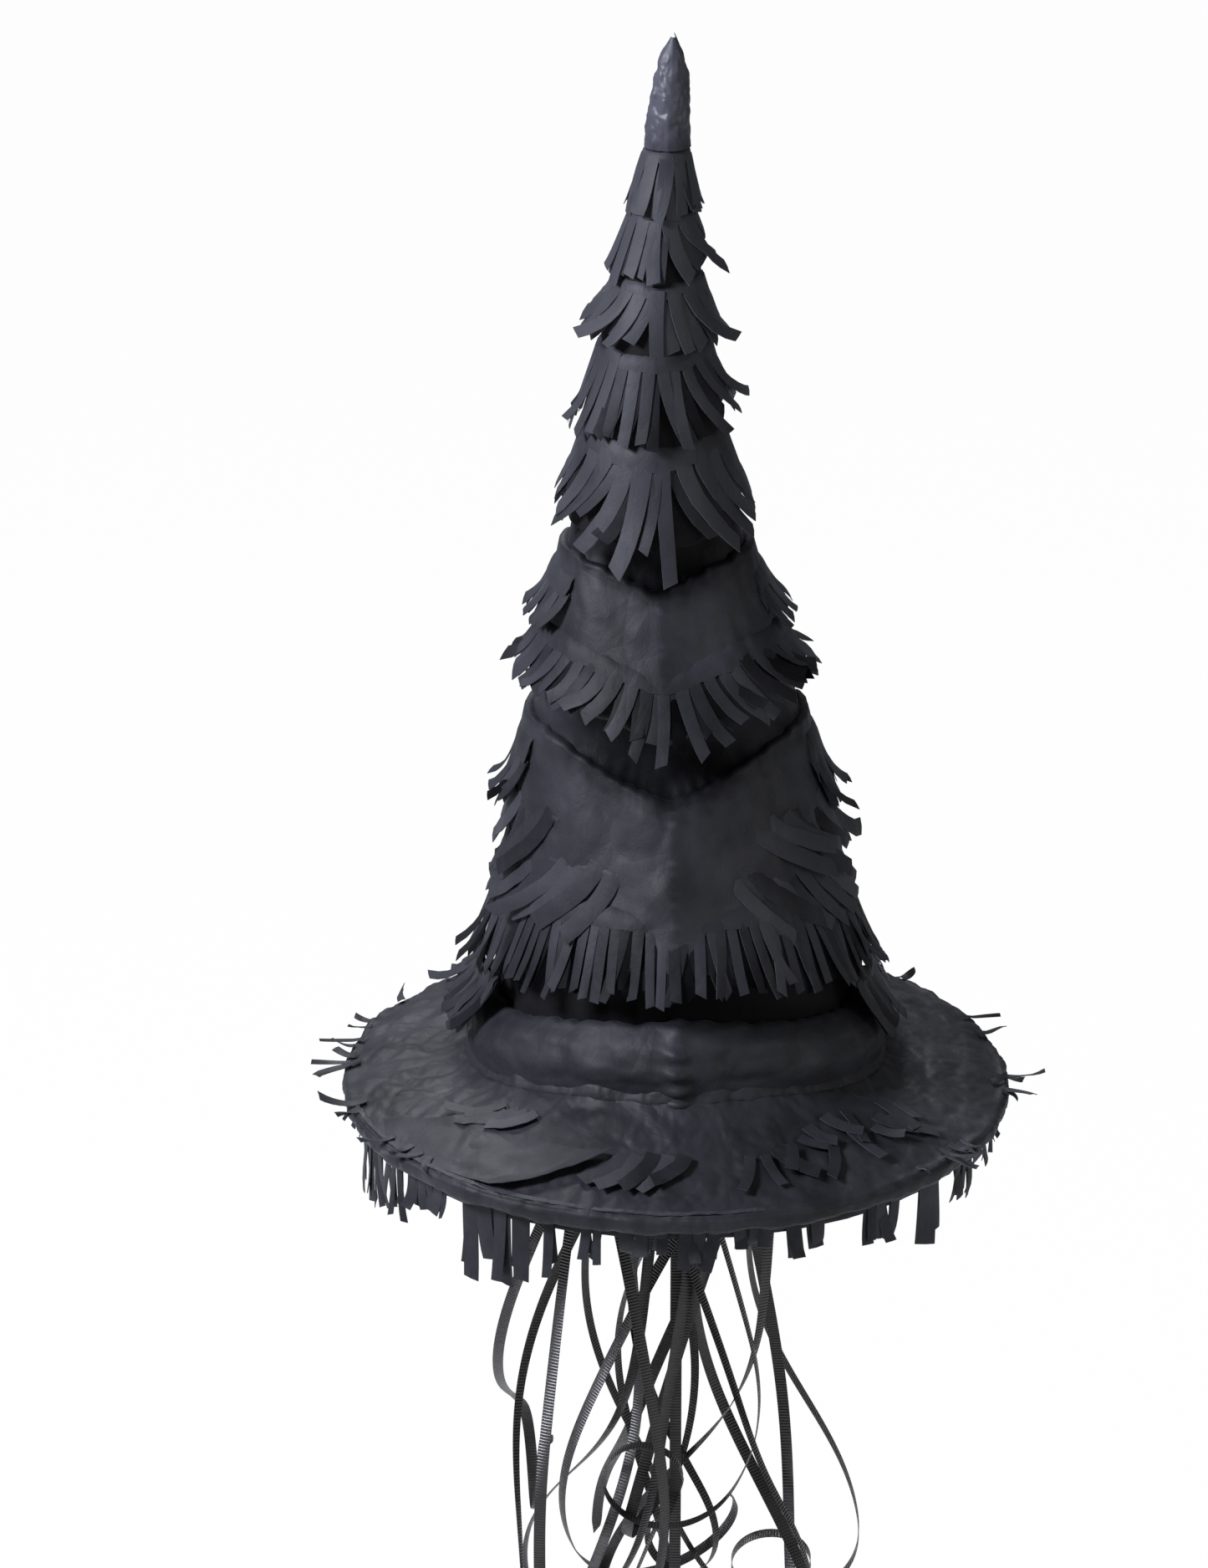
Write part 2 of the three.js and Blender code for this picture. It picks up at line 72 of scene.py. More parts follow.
FULL_TURN = 2 * math.pi - 0.01
LYING_RADII = (0.03, 0.175)  # where rays look for pieces that lie on the brim
CARD_THICK = 2.5 * MM
SINK = 1.05 * MM  # how deep crumples may go before they would meet the card
BAND_STEP = 2.2 * MM  # between the points of a row's uncut band
BAND_SINK = 2.4 * MM  # how deep its top edge goes into the layer below
RIBBON_FALL = 2.2  # how fast a ribbon turns downwards, per metre
CORD_STEP = 0.9 * MM

# The crown's rows of fringe, from the top. Widths, lifts and lengths are in millimetres, leans in degrees.
# uncut is the share of the row above its cuts, and the lift is how far the strips' ends stand off the hat
# in front and at its sides. Leans and side lifts are given for the left and for the right. longer is how
# much further the strips reach at the front.
# tone paints a whole row paler or darker, set to how bright the row comes out, so it holds painted light and
# shade: the upper rows paler, row 10 a little darker.
FRINGE_ROWS = {
    "crown_fringe_01": dict(width=7.8, uncut=0.14, lean=(1, 2), lift=(-0.5, -0.5, 1.6), tone=4.2),
    "crown_fringe_02": dict(width=7.6, uncut=0.12, lean=(6, 27), lift=(-0.4, 1.5, 9), tone=3.5),
    "crown_fringe_03": dict(width=8.4, uncut=0.15, lean=(33, 22), lift=(1, 7, 4), tone=2.9),
    "crown_fringe_04": dict(width=6.6, uncut=0.15, lean=(9, 27), lift=(1, 3, 7), tone=0.6),
    "crown_fringe_05": dict(width=9.4, uncut=0.2, lean=(32, 30), lift=(2.5, 4, 3), longer=0.22, tone=1),
    "crown_fringe_06": dict(width=6, uncut=0.3, lean=(24, 22), lift=(3, 6, 6)),
    "crown_fringe_07": dict(width=7.4, uncut=0.25, lean=(30, 27), lift=(1.5, 6, 5), longer=0.16, tone=0.1),
    "crown_fringe_08": dict(width=6, uncut=0.3, lean=(26, 26), lift=(2, 2.5, 2)),
    "crown_fringe_10": dict(width=5.6, uncut=0.2, lean=(5, 4), lift=(1.5, 4, 5), tone=-0.7),
    "crown_fringe_11": dict(width=5.6, uncut=0.1, lean=(34, 27), lift=(3, 8, 7)),
}

# Clumps of skirt strips: from and to angle in degrees from the front, length and width in millimetres.
SKIRT_CLUMPS = [
    (-91, -81, 22, 6), (-79, -66, 37, 6), (-64, -58, 29, 5), (-56, -45, 20, 7), (-41, -27, 39, 9),
    (-25, -21, 29, 6), (-18, -13, 20, 5), (-11, -2, 14, 7), (0, 7, 21, 6), (9, 16, 13, 6), (18, 26, 19, 8),
    (34, 42, 26, 6), (45, 54, 32, 16), (58, 66, 25, 6), (68, 76, 18, 7), (79, 92, 20, 6), (97, 118, 20, 6),
    (124, 142, 15, 7), (150, 166, 22, 8), (171, 192, 14, 6), (200, 216, 24, 7), (222, 240, 16, 6),
    (247, 265, 20, 7),
]

# Steps by which sheets run on past their edges, each outwards and upwards in millimetres: the hems that
# turn under their card, the collar's top and foot, the brim's way up on the collar and its turn over the rim.
UNDER_HEM = [(0.3, -1.3), (-3.6, -1.3), (-3.6, 4)]
HEM_TURN = [(0, -1.4), (-4.8, -1.4), (-4.8, 4)]
COLLAR_TOP = [(-7.5, -4), (-5, -0.8), (-2, 0.4)]
COLLAR_FOOT = [(1, -2), (1.5, -5)]
BRIM_ROOT = [(-4, 8), (-1.5, 5.5), (-0.3, 2.5)]
RIM_TURN = [(1.2, -0.8), (1.7, -2.2), (1.7, -4), (1.4, -6), (0.2, -7.8), (-2.2, -8.8)]

SPLAYED = dict(width=9.5, uncut=0.06, lean=(42, 44), lift=(4, 5, 6), uneven=1.6)

STATIONS = 8  # points along a strip of fringe
RING = 6  # points round a strip, three on each face

RIBBON_WIDTH = 5.6 * MM
RIBBON_THICK = 0.25 * MM
KNOT_RADIUS = 2.1 * MM
# The hanging loop's legs go down and back from its knot, in shares of its half width, depth and height.
LOOP_LEG = np.array([(0.15, 0.1, 0), (0.6, 0.12, 0.13), (1, 0.48, 0.5), (0.9, 0.83, 0.86), (0.5, 0.97, 0.97)])

CAMERA = dict(elevation=21.5, distance=2.4, lens=117.4, aside=-0.0344, height=0.1555)

# The record's material slot of each finish. The others are black tissue.
SLOTS = {"black_wrap": "wrap_paper", "ribbon_gloss": "ribbon", "brown_card": "card", "black_cord": "cord"}

UP = np.array([0, 0, 1.0])
random = np.random.default_rng(7)


# ---- Noise ----
def scatter(cells, seed):
    """A repeatable number from 0 to 1 for each row of three whole numbers."""
    mixed = (cells * (374761393, 668265263, 1274126177)).sum(-1) + seed * 974634777
    mixed = mixed & 0xFFFFFFFF
    mixed = ((mixed ^ (mixed >> 13)) * 1103515245) & 0xFFFFFFFF
    return ((mixed ^ (mixed >> 16)) & 0xFFFF) / 65535.0


def noise(points, size, seed):
    """Smooth noise of about -1 to 1, with lumps of this size, at each point."""
    place = np.asarray(points, float) / size
    cell = np.floor(place).astype(np.int64)
    inside = place - cell
    fade = inside**3 * (inside * (inside * 6 - 15) + 10)
    total = np.zeros(place.shape[:-1])
    for corner in np.ndindex(2, 2, 2):
        slope = np.stack([scatter(cell + corner, seed + k) for k in range(3)], -1) * 2 - 1
        weight = np.where(corner, fade, 1 - fade).prod(-1)
        total += weight * (slope * (inside - corner)).sum(-1)
    return total * 1.6


def facets(points, size, seed):
    """0 on straight creases and more in the middle of the flat facets between them."""
    place = points / size
    cell = np.floor(place).astype(np.int64)
    nearest = np.full(place.shape[:-1], 9.0)
    second = nearest.copy()
    for step in np.ndindex(3, 3, 3):
        other = cell + np.array(step) - 1
        spot = other + np.stack([scatter(other, seed + k) for k in range(3)], -1)
        far = np.linalg.norm(place - spot, axis=-1)
        second = np.minimum(second, np.maximum(nearest, far))
        nearest = np.minimum(nearest, far)
    return second - nearest


def crumple(points, size, depth, seed):
    """Heights of creased paper: big flat facets, smaller ones inside them, and slack between."""
    points = np.asarray(points, float)
    size = np.asarray(size, float)
    warp = np.stack([noise(points, size * 1.2, seed + 90 + k) for k in range(3)], -1) * size * 0.25
    big = facets(points + warp, size, seed) - 0.35
    small = facets(points + warp, size / 2.3, seed + 7) - 0.35
    slack = noise(points, size * 1.5, seed + 13)
    return (1.1 * big + 0.4 * small + 0.6 * slack) * depth


# ---- Meshes ----
def shown_paper(name, shape, material, body, stands_for=(), tone=None):
    """Makes one visual piece. shape is its points, its faces, and flags for those that are cut edges.

    body is the body it rides on, or (body, other body, from, to) for a piece between two, which stays in
    place on neither.
    """
    verts, faces, edges = shape
    mesh = bpy.data.meshes.new(name)
    mesh.from_pydata(np.asarray(verts, float).tolist(), [], np.asarray(faces, int).tolist())
    mesh.polygons.foreach_set("use_smooth", [True] * len(mesh.polygons))
    mesh.materials.append(material)
    # Cut edges take the paler edge finish, which is partly a painted highlight.
    if np.any(edges) and material not in (UNDERLAY, RIBBON, CORD):
        mesh.materials.append(CUT_EDGE)
        mesh.polygons.foreach_set("material_index", np.asarray(edges, np.int32))
    if tone is not None:
        point_values(mesh, "tone", tone)
    face_outwards(mesh)
    mesh.set_sharp_from_angle(angle=math.radians(55))
    piece = bpy.data.objects.new(name, mesh)
    bpy.context.scene.collection.objects.link(piece)
    if isinstance(body, tuple):
        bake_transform(piece)
    else:
        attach(piece, body)
    if stands_for:
        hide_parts(*stands_for)
    SLOTS.get(material.name, "black_tissue")
    return piece


def point_values(mesh, name, values):
    """One number per vertex, which a material reads by its name."""
    layer = mesh.attributes.new(name, "FLOAT", "POINT")
    layer.data.foreach_set("value", np.asarray(values, np.float32))


def face_outwards(mesh):
    """Turns the faces of closed bodies outwards."""
    work = bmesh.new()
    work.from_mesh(mesh)
    bmesh.ops.recalc_face_normals(work, faces=work.faces)
    work.to_mesh(mesh)
    work.free()


def unit(vectors):
    return vectors / np.maximum(np.linalg.norm(vectors, axis=-1, keepdims=True), 1e-12)


def gaps(points):
    """Distances between neighbouring points, along the last but one axis."""
    return np.linalg.norm(np.diff(points, axis=-2), axis=-1)


def run_along(points):
    """How far along a line each of its points is."""
    return np.r_[0, np.cumsum(gaps(points))]


def grid_normals(grid, around):
    """Outward directions of an (n, m, 3) grid, its first axis round the hat and its second one down it."""
    along = np.roll(grid, -1, 0) - np.roll(grid, 1, 0) if around else np.gradient(grid, axis=0)
    return unit(np.cross(np.gradient(grid, axis=1), along))


def sheet_faces(outer, inner, around):
    """Closes a thin sheet between two grids of the same shape. around says that it closes on itself."""
    n, m = outer.shape[:2]
    number = np.arange(n * m).reshape(n, m)
    if around:
        number = np.vstack([number, number[:1]])
    top = np.stack([number[:-1, :-1], number[1:, :-1], number[1:, 1:], number[:-1, 1:]], -1).reshape(-1, 4)
    rims = [number[:, 0], number[:, -1]]
    if not around:
        rims += [number[0], number[-1]]
    sides = [np.stack([rim[:-1], rim[1:], rim[1:] + n * m, rim[:-1] + n * m], -1) for rim in rims]
    faces = np.vstack([top, top[:, ::-1] + n * m] + sides)
    edges = np.arange(len(faces)) >= 2 * len(top)
    return np.concatenate([outer.reshape(-1, 3), inner.reshape(-1, 3)]), faces, edges


def ring_faces(count, stations):
    """The faces of closed strips whose points are numbered ring by ring, and which of them are cut edges."""
    first = np.arange(count)[:, None, None] * stations * RING
    a = first + np.arange(stations - 1)[None, :, None] * RING + np.arange(RING)
    b = a + np.where(np.arange(RING) == RING - 1, 1 - RING, 1)
    walls = np.stack([a, b, b + RING, a + RING], -1).reshape(-1, 4)
    ends = [first[:, 0] + at + np.array([corners])
            for at in (0, (stations - 1) * RING) for corners in ([0, 1, 4, 5], [1, 2, 3, 4])]
    is_edge = np.broadcast_to(np.isin(np.arange(RING), [2, 5]), a.shape).reshape(-1)
    return np.vstack([walls] + ends), np.r_[is_edge, np.ones(4 * count)]


def strip_faces(path, side, up, width, thick, cup, slant=0.0):
    """Closed thin strips. path, side and up are (strips, stations, 3) arrays, width is (strips, stations).

    cup is how much a strip crowns along its middle, slant how far its end is cut off square.
    """
    half = side * width[..., None] / 2
    rise = up * (width * cup)[..., None]
    slanted = np.zeros_like(path)
    slanted[:, -1] = (path[:, -1] - path[:, -2]) * np.asarray(slant).reshape(-1, 1)
    top = [path - half + slanted, path + rise, path + half - slanted]
    low = [p - up * thick for p in top[::-1]]
    return np.stack(top + low, 2).reshape(-1, 3), *ring_faces(*path.shape[:2])


# ---- Reading round pieces off the CAD ----
class Wrap:
    """The outside of a CAD piece that goes round the hat: position by angle from the front and share down."""

    def __init__(self, node, lying=False):
        self.node = node
        self.low, self.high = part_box(node)
        self.angles = np.arange(0, 2 * math.pi, TURN_STEP)
        mesh = frame["nodes"][node].data
        faces = [list(p.vertices) for p in mesh.polygons]
        tree = BVHTree.FromPolygons([v.co.copy() for v in mesh.vertices], faces)
        self.read_axis(tree, lying)
        columns = [np.transpose(self.read_column(tree, angle, lying)) for angle in self.angles]
        self.open = np.array([column.size < 9 for column in columns])  # fewer than three hits
        self.tables = np.zeros((2, len(self.angles), ROWS))  # radius and height
        for i in np.flatnonzero(~self.open):
            keys, *values = columns[i]
            at = np.linspace(keys[0], keys[-1], ROWS)
            self.tables[:, i] = [np.interp(at, keys, v) for v in values]
        self.fill()

    @property
    def radius(self):
        return float(self.tables[0].mean())

    def read_axis(self, tree, lying):
        """The hat leans, so its middle is found at each level. Lying pieces go round the base's middle."""
        self.axis_z = np.arange(self.low.z + 0.5 * MM, self.high.z, LEVEL_STEP)
        known = []
        for z in self.axis_z:
            sides = [tree.ray_cast(Vector((side * FAR, 0, z)), Vector((-side, 0, 0)))[0] for side in (-1, 1)]
            if not lying and None not in sides and sides[0].x < sides[1].x - 2 * MM:
                known.append((z, (sides[0].x + sides[1].x) / 2))
        known = known or [(0, 0 if lying else (self.low.x + self.high.x) / 2)]
        self.axis_x = np.interp(self.axis_z, *np.transpose(known))

    def read_column(self, tree, angle, lying):
        """(key, radius, height) down one column. Rays go in from outside, or up or down to a lying piece."""
        out = Vector((math.sin(angle), -math.cos(angle), 0))
        found = []
        if lying:
            side = 1 if lying == "top" else -1
            for r in np.arange(*LYING_RADII, LEVEL_STEP):
                hit = tree.ray_cast(out * r + Vector((0, 0, side)), Vector((0, 0, -side)))[0]
                if hit is not None:
                    found.append((r, r, hit.z))
            return found
        for z, x in zip(self.axis_z[::-1], self.axis_x[::-1]):
            middle = Vector((x, 0, z))
            hit = tree.ray_cast(middle + out * FAR, -out)[0]
            if hit is not None and (hit - middle).dot(out) > 0.3 * MM:
                found.append((-z, (hit - middle).dot(out), z))
        return found

    def fill(self):
        """Open columns take their neighbours' values, so that strips may reach over an opening's edge."""
        good = np.flatnonzero(~self.open)
        for table in self.tables:
            for j in range(ROWS):
                table[:, j] = np.interp(self.angles, self.angles[good], table[good, j], period=2 * math.pi)

    def smooth(self, times=1):
        for _ in range(times):
            self.tables = (np.roll(self.tables, 1, 1) + 2 * self.tables + np.roll(self.tables, -1, 1)) / 4
        return self

    def spans(self):
        """(from, to) angles of each run that holds paper. A piece that closes on itself has one full turn."""
        if not self.open.any():
            return [(-math.pi, math.pi)]
        first = np.flatnonzero(self.open)[0]
        steps = np.diff(np.append(np.roll(self.open, -first), True).astype(int))
        begins, ends = np.flatnonzero(steps == -1) + 1, np.flatnonzero(steps == 1)
        return [((first + begin) * TURN_STEP, (first + end) * TURN_STEP) for begin, end in zip(begins, ends)]

    def at(self, angle, down):
        """Points at some angles and shares down, of any matching shapes. Shares past 1 run on straight."""
        turn, row = angle / TURN_STEP, down * (ROWS - 1)
        i = np.floor(turn).astype(int)
        j = np.clip(np.floor(row).astype(int), 0, ROWS - 2)
        aside, below = turn - i, row - j
        here, beside = i % len(self.angles), (i + 1) % len(self.angles)

        def across(row):
            return self.tables[:, here, row] * (1 - aside) + self.tables[:, beside, row] * aside

        radius, level = across(j) * (1 - below) + across(j + 1) * below
        middle = np.interp(level, self.axis_z, self.axis_x)
        return np.stack([middle + radius * np.sin(angle), -radius * np.cos(angle), level], -1)

    def normal(self, angle, down):
        along = self.at(angle + 0.02, down) - self.at(angle - 0.02, down)
        return unit(np.cross(self.at(angle, down + 0.02) - self.at(angle, down - 0.02), along))

    def length(self, angle):
        """How far it is from the top edge to the hem."""
        return gaps(self.at(angle[..., None], np.linspace(0, 1, 7))).sum(-1)


class Window:
    """Part of a round piece, between two shares down, with the same use as the whole."""

    def __init__(self, wrap, top, hem, spans, skew=0.0):
        self.wrap, self.top, self.hem, self.own, self.skew = wrap, top, hem, spans, skew
        self.node, self.radius, self.angles = wrap.node, wrap.radius, wrap.angles

    def place(self, angle, down):
        """The same place by the whole's angle and share."""
        return angle + self.skew * down, self.top + down * (self.hem - self.top)

    def spans(self):
        return self.own

    def at(self, angle, down):
        return self.wrap.at(*self.place(angle, down))

    def normal(self, angle, down):
        return self.wrap.normal(*self.place(angle, down))

    def length(self, angle):
        return self.wrap.length(angle) * (self.hem - self.top)


def wrinkled_sheet(name, wrap, material, fold, seed, body="hat", stands_for=None, off=0.0, fine=1.6, lead=(),
                   trail=(), shape=None, calm=None, dip=None, shade=None, thick=SHEET):
    """A crumpled sheet over a round piece, with points every fine millimetres, that stands off it by off.

    fold is the size of its crumples in x, y and z, and their depth. lead and trail run on past the piece's
    top edge and its hem, in steps or in rows of points. calm is a function of the share down that says how
    much of the crumples is left, dip one of the angle that says at which share the sheet starts, shape one
    of both that adds to its height, and shade one of both that makes the paper lighter or darker.
    """
    start, end = wrap.spans()[0]
    around = end - start > FULL_TURN
    columns = int((end - start) * wrap.radius / (fine * MM))
    rows = max(4, int(float(np.mean(wrap.length(wrap.angles))) / (fine * MM)))
    turns = np.linspace(start, end, columns, endpoint=not around)
    first = dip(turns)[:, None] if dip else 0
    base = wrap.at(turns[:, None], first + np.linspace(0, 1, rows) * (1 - first))
    before = lead(turns) if callable(lead) else edge_rows(wrap, 0, lead, turns)
    base = np.concatenate([before, base, edge_rows(wrap, 1, trail, turns)], 1)
    shares = (np.arange(base.shape[1]) - before.shape[1]) / (rows - 1)
    angle, share = np.meshgrid(turns, shares, indexing="ij")
    depth = fold[3] * MM
    height = crumple(base, np.array(fold[:3]) * MM, depth, seed) + 0.3 * depth
    height = np.maximum(off * MM + height * (calm(share) if calm else 1), -SINK)
    if shape:
        height = height + shape(angle, share)
    normal = grid_normals(base, around)
    outer = base + normal * height[..., None]
    tone = np.tile(shade(angle, share).reshape(-1), 2) if shade else None
    stands_for = (wrap.node,) if stands_for is None else stands_for
    sheet = sheet_faces(outer, outer - normal * thick, around)
    return shown_paper(name, sheet, material, body, stands_for, tone)


def edge_rows(wrap, share, steps, turns, between=3):
    """Rows that run on from an edge through some steps, each (outwards, upwards) from it in millimetres."""
    corners = np.array([*steps, (0, 0)] if share == 0 else [(0, 0), *steps], float) * MM
    at = np.linspace(0, len(corners) - 1, (len(corners) - 1) * between + 1)
    at = at[:-1] if share == 0 else at[1:]
    out, up = [np.interp(at, np.arange(len(corners)), run)[:, None] for run in corners.T]
    return wrap.at(turns, share)[:, None] + outwards(turns)[:, None] * out + UP * up


def cut_opening(piece, node, room):
    """Cuts a box round a CAD piece, with some room at its sides, out of a visual piece."""
    low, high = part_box(node)
    bpy.ops.mesh.primitive_cube_add(size=1, location=(low + high) / 2)
    tool = bpy.context.object
    tool.scale = high - low + Vector((2 * room, 0.1, 2 * room))
    cutter = piece.modifiers.new("opening", "BOOLEAN")
    cutter.operation = "DIFFERENCE"
    cutter.object = tool
    bpy.context.view_layer.update()
    seen = piece.evaluated_get(bpy.context.evaluated_depsgraph_get())
    cut = bpy.data.meshes.new_from_object(seen)
    piece.modifiers.clear()
    piece.data = cut
    bpy.data.objects.remove(tool)


# ---- Fringe ----
def tangents(path):
    """Unit directions along the last but one axis of some points."""
    return unit(np.gradient(path, axis=-2))


def clumped(angle, size, seed):
    """Noise that neighbouring strips share, because strips stick together in clumps."""
    around = np.stack([np.cos(angle), np.sin(angle), np.full_like(angle, seed * 0.37)], -1)
    return noise(around, size, seed)


def leaning(facing, sides):
    """A value that grows from nothing in front to its left or its right value at the sides."""
    return np.where(facing < 0, sides[0], sides[1]) * np.tanh(2.4 * np.abs(facing))


def drawn(count, **values):
    """Random values by name: from a range where there are two numbers, and about 0 where there is one."""
    made = {}
    for name, spread in values.items():
        is_range = isinstance(spread, tuple)
        made[name] = random.uniform(*spread, count) if is_range else random.normal(0, spread, count)
    return made


def cut_strips(wrap, angle, start, long, lean, lift, curl, twist, width, slant, tone, taper=(1, 1), cup=0.05,
               rise=0.0):
    """The mesh and the tones of strips that start on a surface and run down it.

    The values from angle to tone are one per strip, with lengths in millimetres. rise, in metres, lifts the
    strips off the surface.
    """
    s = np.linspace(0, 1, STATIONS)
    angle, start, long, lean, lift, curl, twist, width = [
        value[:, None] for value in (angle, start, long * MM, lean, lift * MM, curl * MM, twist, width * MM)]
    radius = np.linalg.norm(wrap.at(angle, start)[..., :2], axis=-1)
    turn = angle + np.sin(lean) * long * (0.35 * s + 0.65 * s**2) / radius
    share = start + np.cos(lean) * long * s / wrap.length(angle)
    normal = wrap.normal(turn, share)
    path = wrap.at(turn, share) + normal * (lift * s**1.8 + curl * s**5)[..., None]
    tangent = tangents(path)
    side = unit(np.cross(tangent, normal))
    up = np.cross(side, tangent)
    spin = (twist * s**1.5)[..., None]
    side, up = side * np.cos(spin) + up * np.sin(spin), up * np.cos(spin) - side * np.sin(spin)
    mesh = strip_faces(path + up * rise, side, up, width * np.linspace(*taper, STATIONS), PAPER, cup, slant)
    return mesh, np.repeat(tone, STATIONS * RING)


def fringe_piece(name, strips, body, node):
    """One piece of several meshes with their tones."""
    parts, tones = zip(*strips)
    shown_paper(name, joined(parts), TISSUE, body, (node,), np.concatenate(tones))


def fringe(name, wrap, row, body="hat", layers=2, seed=3, node=None, off=0.0):
    """A row of cut fringe: an uncut band along its top and strips below it, over inner strips painted darker,
    as painted shade between the outer ones.
    """
    strips = []
    width, (near, left, right), tone = row["width"], row["lift"], row.get("tone", 0)
    for begin, end in wrap.spans():
        closed = end - begin > FULL_TURN
        top = band(wrap, begin, end, row["uncut"] + 0.05, off, closed, seed)
        # The band is painted a little darker, as painted shade under the row above.
        strips.append((top, np.full(len(top[0]), tone - 0.3)))
        run = gaps(wrap.at(np.linspace(begin, end, 60), 0.5)).sum()
        for layer in range(layers):
            count = max(2, int(run / (width * MM)))
            even = np.arange(count) + 0.5 - 0.5 * layer * closed
            angle = begin + (even + random.uniform(-0.1, 0.1, count)) * (end - begin) / count
            facing = np.sin(angle)
            front = np.clip(np.cos(angle), 0, 1) ** 6
            clump = clumped(angle, 0.5, seed + 20 * layer)
            lean = np.radians(leaning(facing, row["lean"])) * np.sign(facing) * (1 + 0.3 * clump)
            lean = lean + 0.2 * clumped(angle, 0.33, seed + 5) + random.normal(0, 0.08, count)
            lift = near + leaning(facing, (left - near, right - near)) * np.abs(facing)
            lift = lift * (0.8 + 0.4 * clump + random.uniform(-0.1, 0.4, count)) * (1 - 0.6 * layer)
            loose = (random.random(count) < 0.08) & (np.abs(facing) > 0.5)
            lift = np.where(loose, lift * 1.6 + 2, np.maximum(lift, -0.6))
            start = row["uncut"] + random.uniform(-0.07, 0.01, count)
            long = wrap.length(angle) / MM * (1 - start) * random.uniform(0.85, 1.05, count)
            long = long * (1 - 0.06 * layer) * (1 + row.get("longer", 0) * front * (1 - layer))
            own = drawn(count, curl=0.8, twist=0.16, width=(0.72, 0.98), slant=(-0.35, 0.35),
                        tone=row.get("uneven", 0.9))
            own["curl"] += np.where(loose, 3, 0)
            own["twist"] += 0.2 * clump
            own["width"] = width * (own["width"] + 0.12 * layer)
            # Inner strips are painted darker, as painted shade where they show between the outer ones.
            own["tone"] += tone - 2.8 * layer
            # The starts are tucked under the band, the inner strips' ones deeper.
            tucked = (0.5 + 0.6 * layer) * MM * np.linspace(1, 0, STATIONS) ** 5
            strips.append(cut_strips(wrap, angle, start, long, lean, lift, taper=(1.02, 0.97),
                                     rise=(off - 0.5 * MM * layer - tucked)[:, None], **own))
    fringe_piece(name, strips, body, node or wrap.node)


def band(wrap, begin, end, uncut, off, closed, seed):
    """The uncut top of a row, a thin sheet that follows the hat. Its top edge sinks into the layer below."""
    columns = max(8, int((end - begin) * wrap.radius / BAND_STEP))
    turns = np.linspace(begin, end, columns, endpoint=not closed)
    angle, share = np.meshgrid(turns, np.linspace(0, uncut, 7), indexing="ij")
    base = wrap.at(angle, share)
    normal = wrap.normal(angle, share)
    sunk = BAND_SINK * np.clip(1 - share / uncut, 0, 1) ** 3
    height = off + crumple(base, 8 * MM, 0.35 * MM, seed) - sunk
    outer = base + normal * height[..., None]
    return sheet_faces(outer, outer - normal * PAPER, closed)


def joined(parts):
    """Several meshes as one."""
    verts, faces, edges, start = [], [], [], 0
    for v, f, e in parts:
        verts.append(v)
        faces.append(np.asarray(f) + start)
        edges.append(e)
        start += len(v)
    return np.vstack(verts), np.vstack(faces), np.concatenate(edges)


# ---- Materials ----
class Finish:
    """The nodes of a material or a world. Each method adds a node, and returns its output."""

    def __init__(self, owner):
        owner.use_nodes = True
        self.owner, self.tree = owner, owner.node_tree
        self.place = self.add("TexCoord", "Object")

    def put(self, socket, value):
        """Links an output to a socket, or sets the socket to a plain value."""
        if isinstance(value, bpy.types.NodeSocket):
            self.tree.links.new(value, socket)
        else:
            socket.default_value = value

    def add(self, kind, output, *values, settings=None, **named):
        node = self.tree.nodes.new("ShaderNode" + kind)
        for name, value in (settings or {}).items():
            setattr(node, name, value)
        for name, value in [*enumerate(values), *named.items()]:
            self.put(node.inputs[name], value)
        return node.outputs[output]

    def maths(self, how, *values, clamp=False):
        return self.add("Math", 0, *values, settings={"operation": how, "use_clamp": clamp})

    def attribute(self, name):
        return self.add("Attribute", "Fac", settings={"attribute_name": name})

    def stretched(self, scale):
        return self.add("Mapping", "Vector", Vector=self.place, Scale=scale)

    def noise(self, scale, detail=4.0, rough=0.55, distort=0.0, place=None):
        return self.add("TexNoise", "Fac", Vector=place or self.place, Scale=scale, Detail=detail,
                        Roughness=rough, Distortion=distort)

    def creases(self, scale, place):
        """Thin lines between facets, as on paper that was crushed and flattened."""
        return self.add("TexVoronoi", "Distance", settings={"feature": "DISTANCE_TO_EDGE"}, Vector=place,
                        Scale=scale)

    def ramp(self, value, stops):
        colour = self.add("ValToRGB", "Color", Fac=value)
        elements = colour.node.color_ramp.elements
        while len(elements) < len(stops):
            elements.new(0.5)
        for element, (at, shade) in zip(elements, stops):
            element.position = at
            element.color = (*shade, 1)
        return colour

    def bump(self, height, distance, strength, before=None):
        values = {"Normal": before} if before else {}
        return self.add("Bump", "Normal", Height=height, Distance=distance, Strength=strength, **values)

    def surface(self, values):
        """Fills the surface shader's inputs, and returns the material."""
        inputs = self.tree.nodes["Principled BSDF"].inputs
        for name, value in values.items():
            self.put(inputs[name], value)
        return self.owner


def finish_named(name):
    return Finish(bpy.data.materials.new(name))


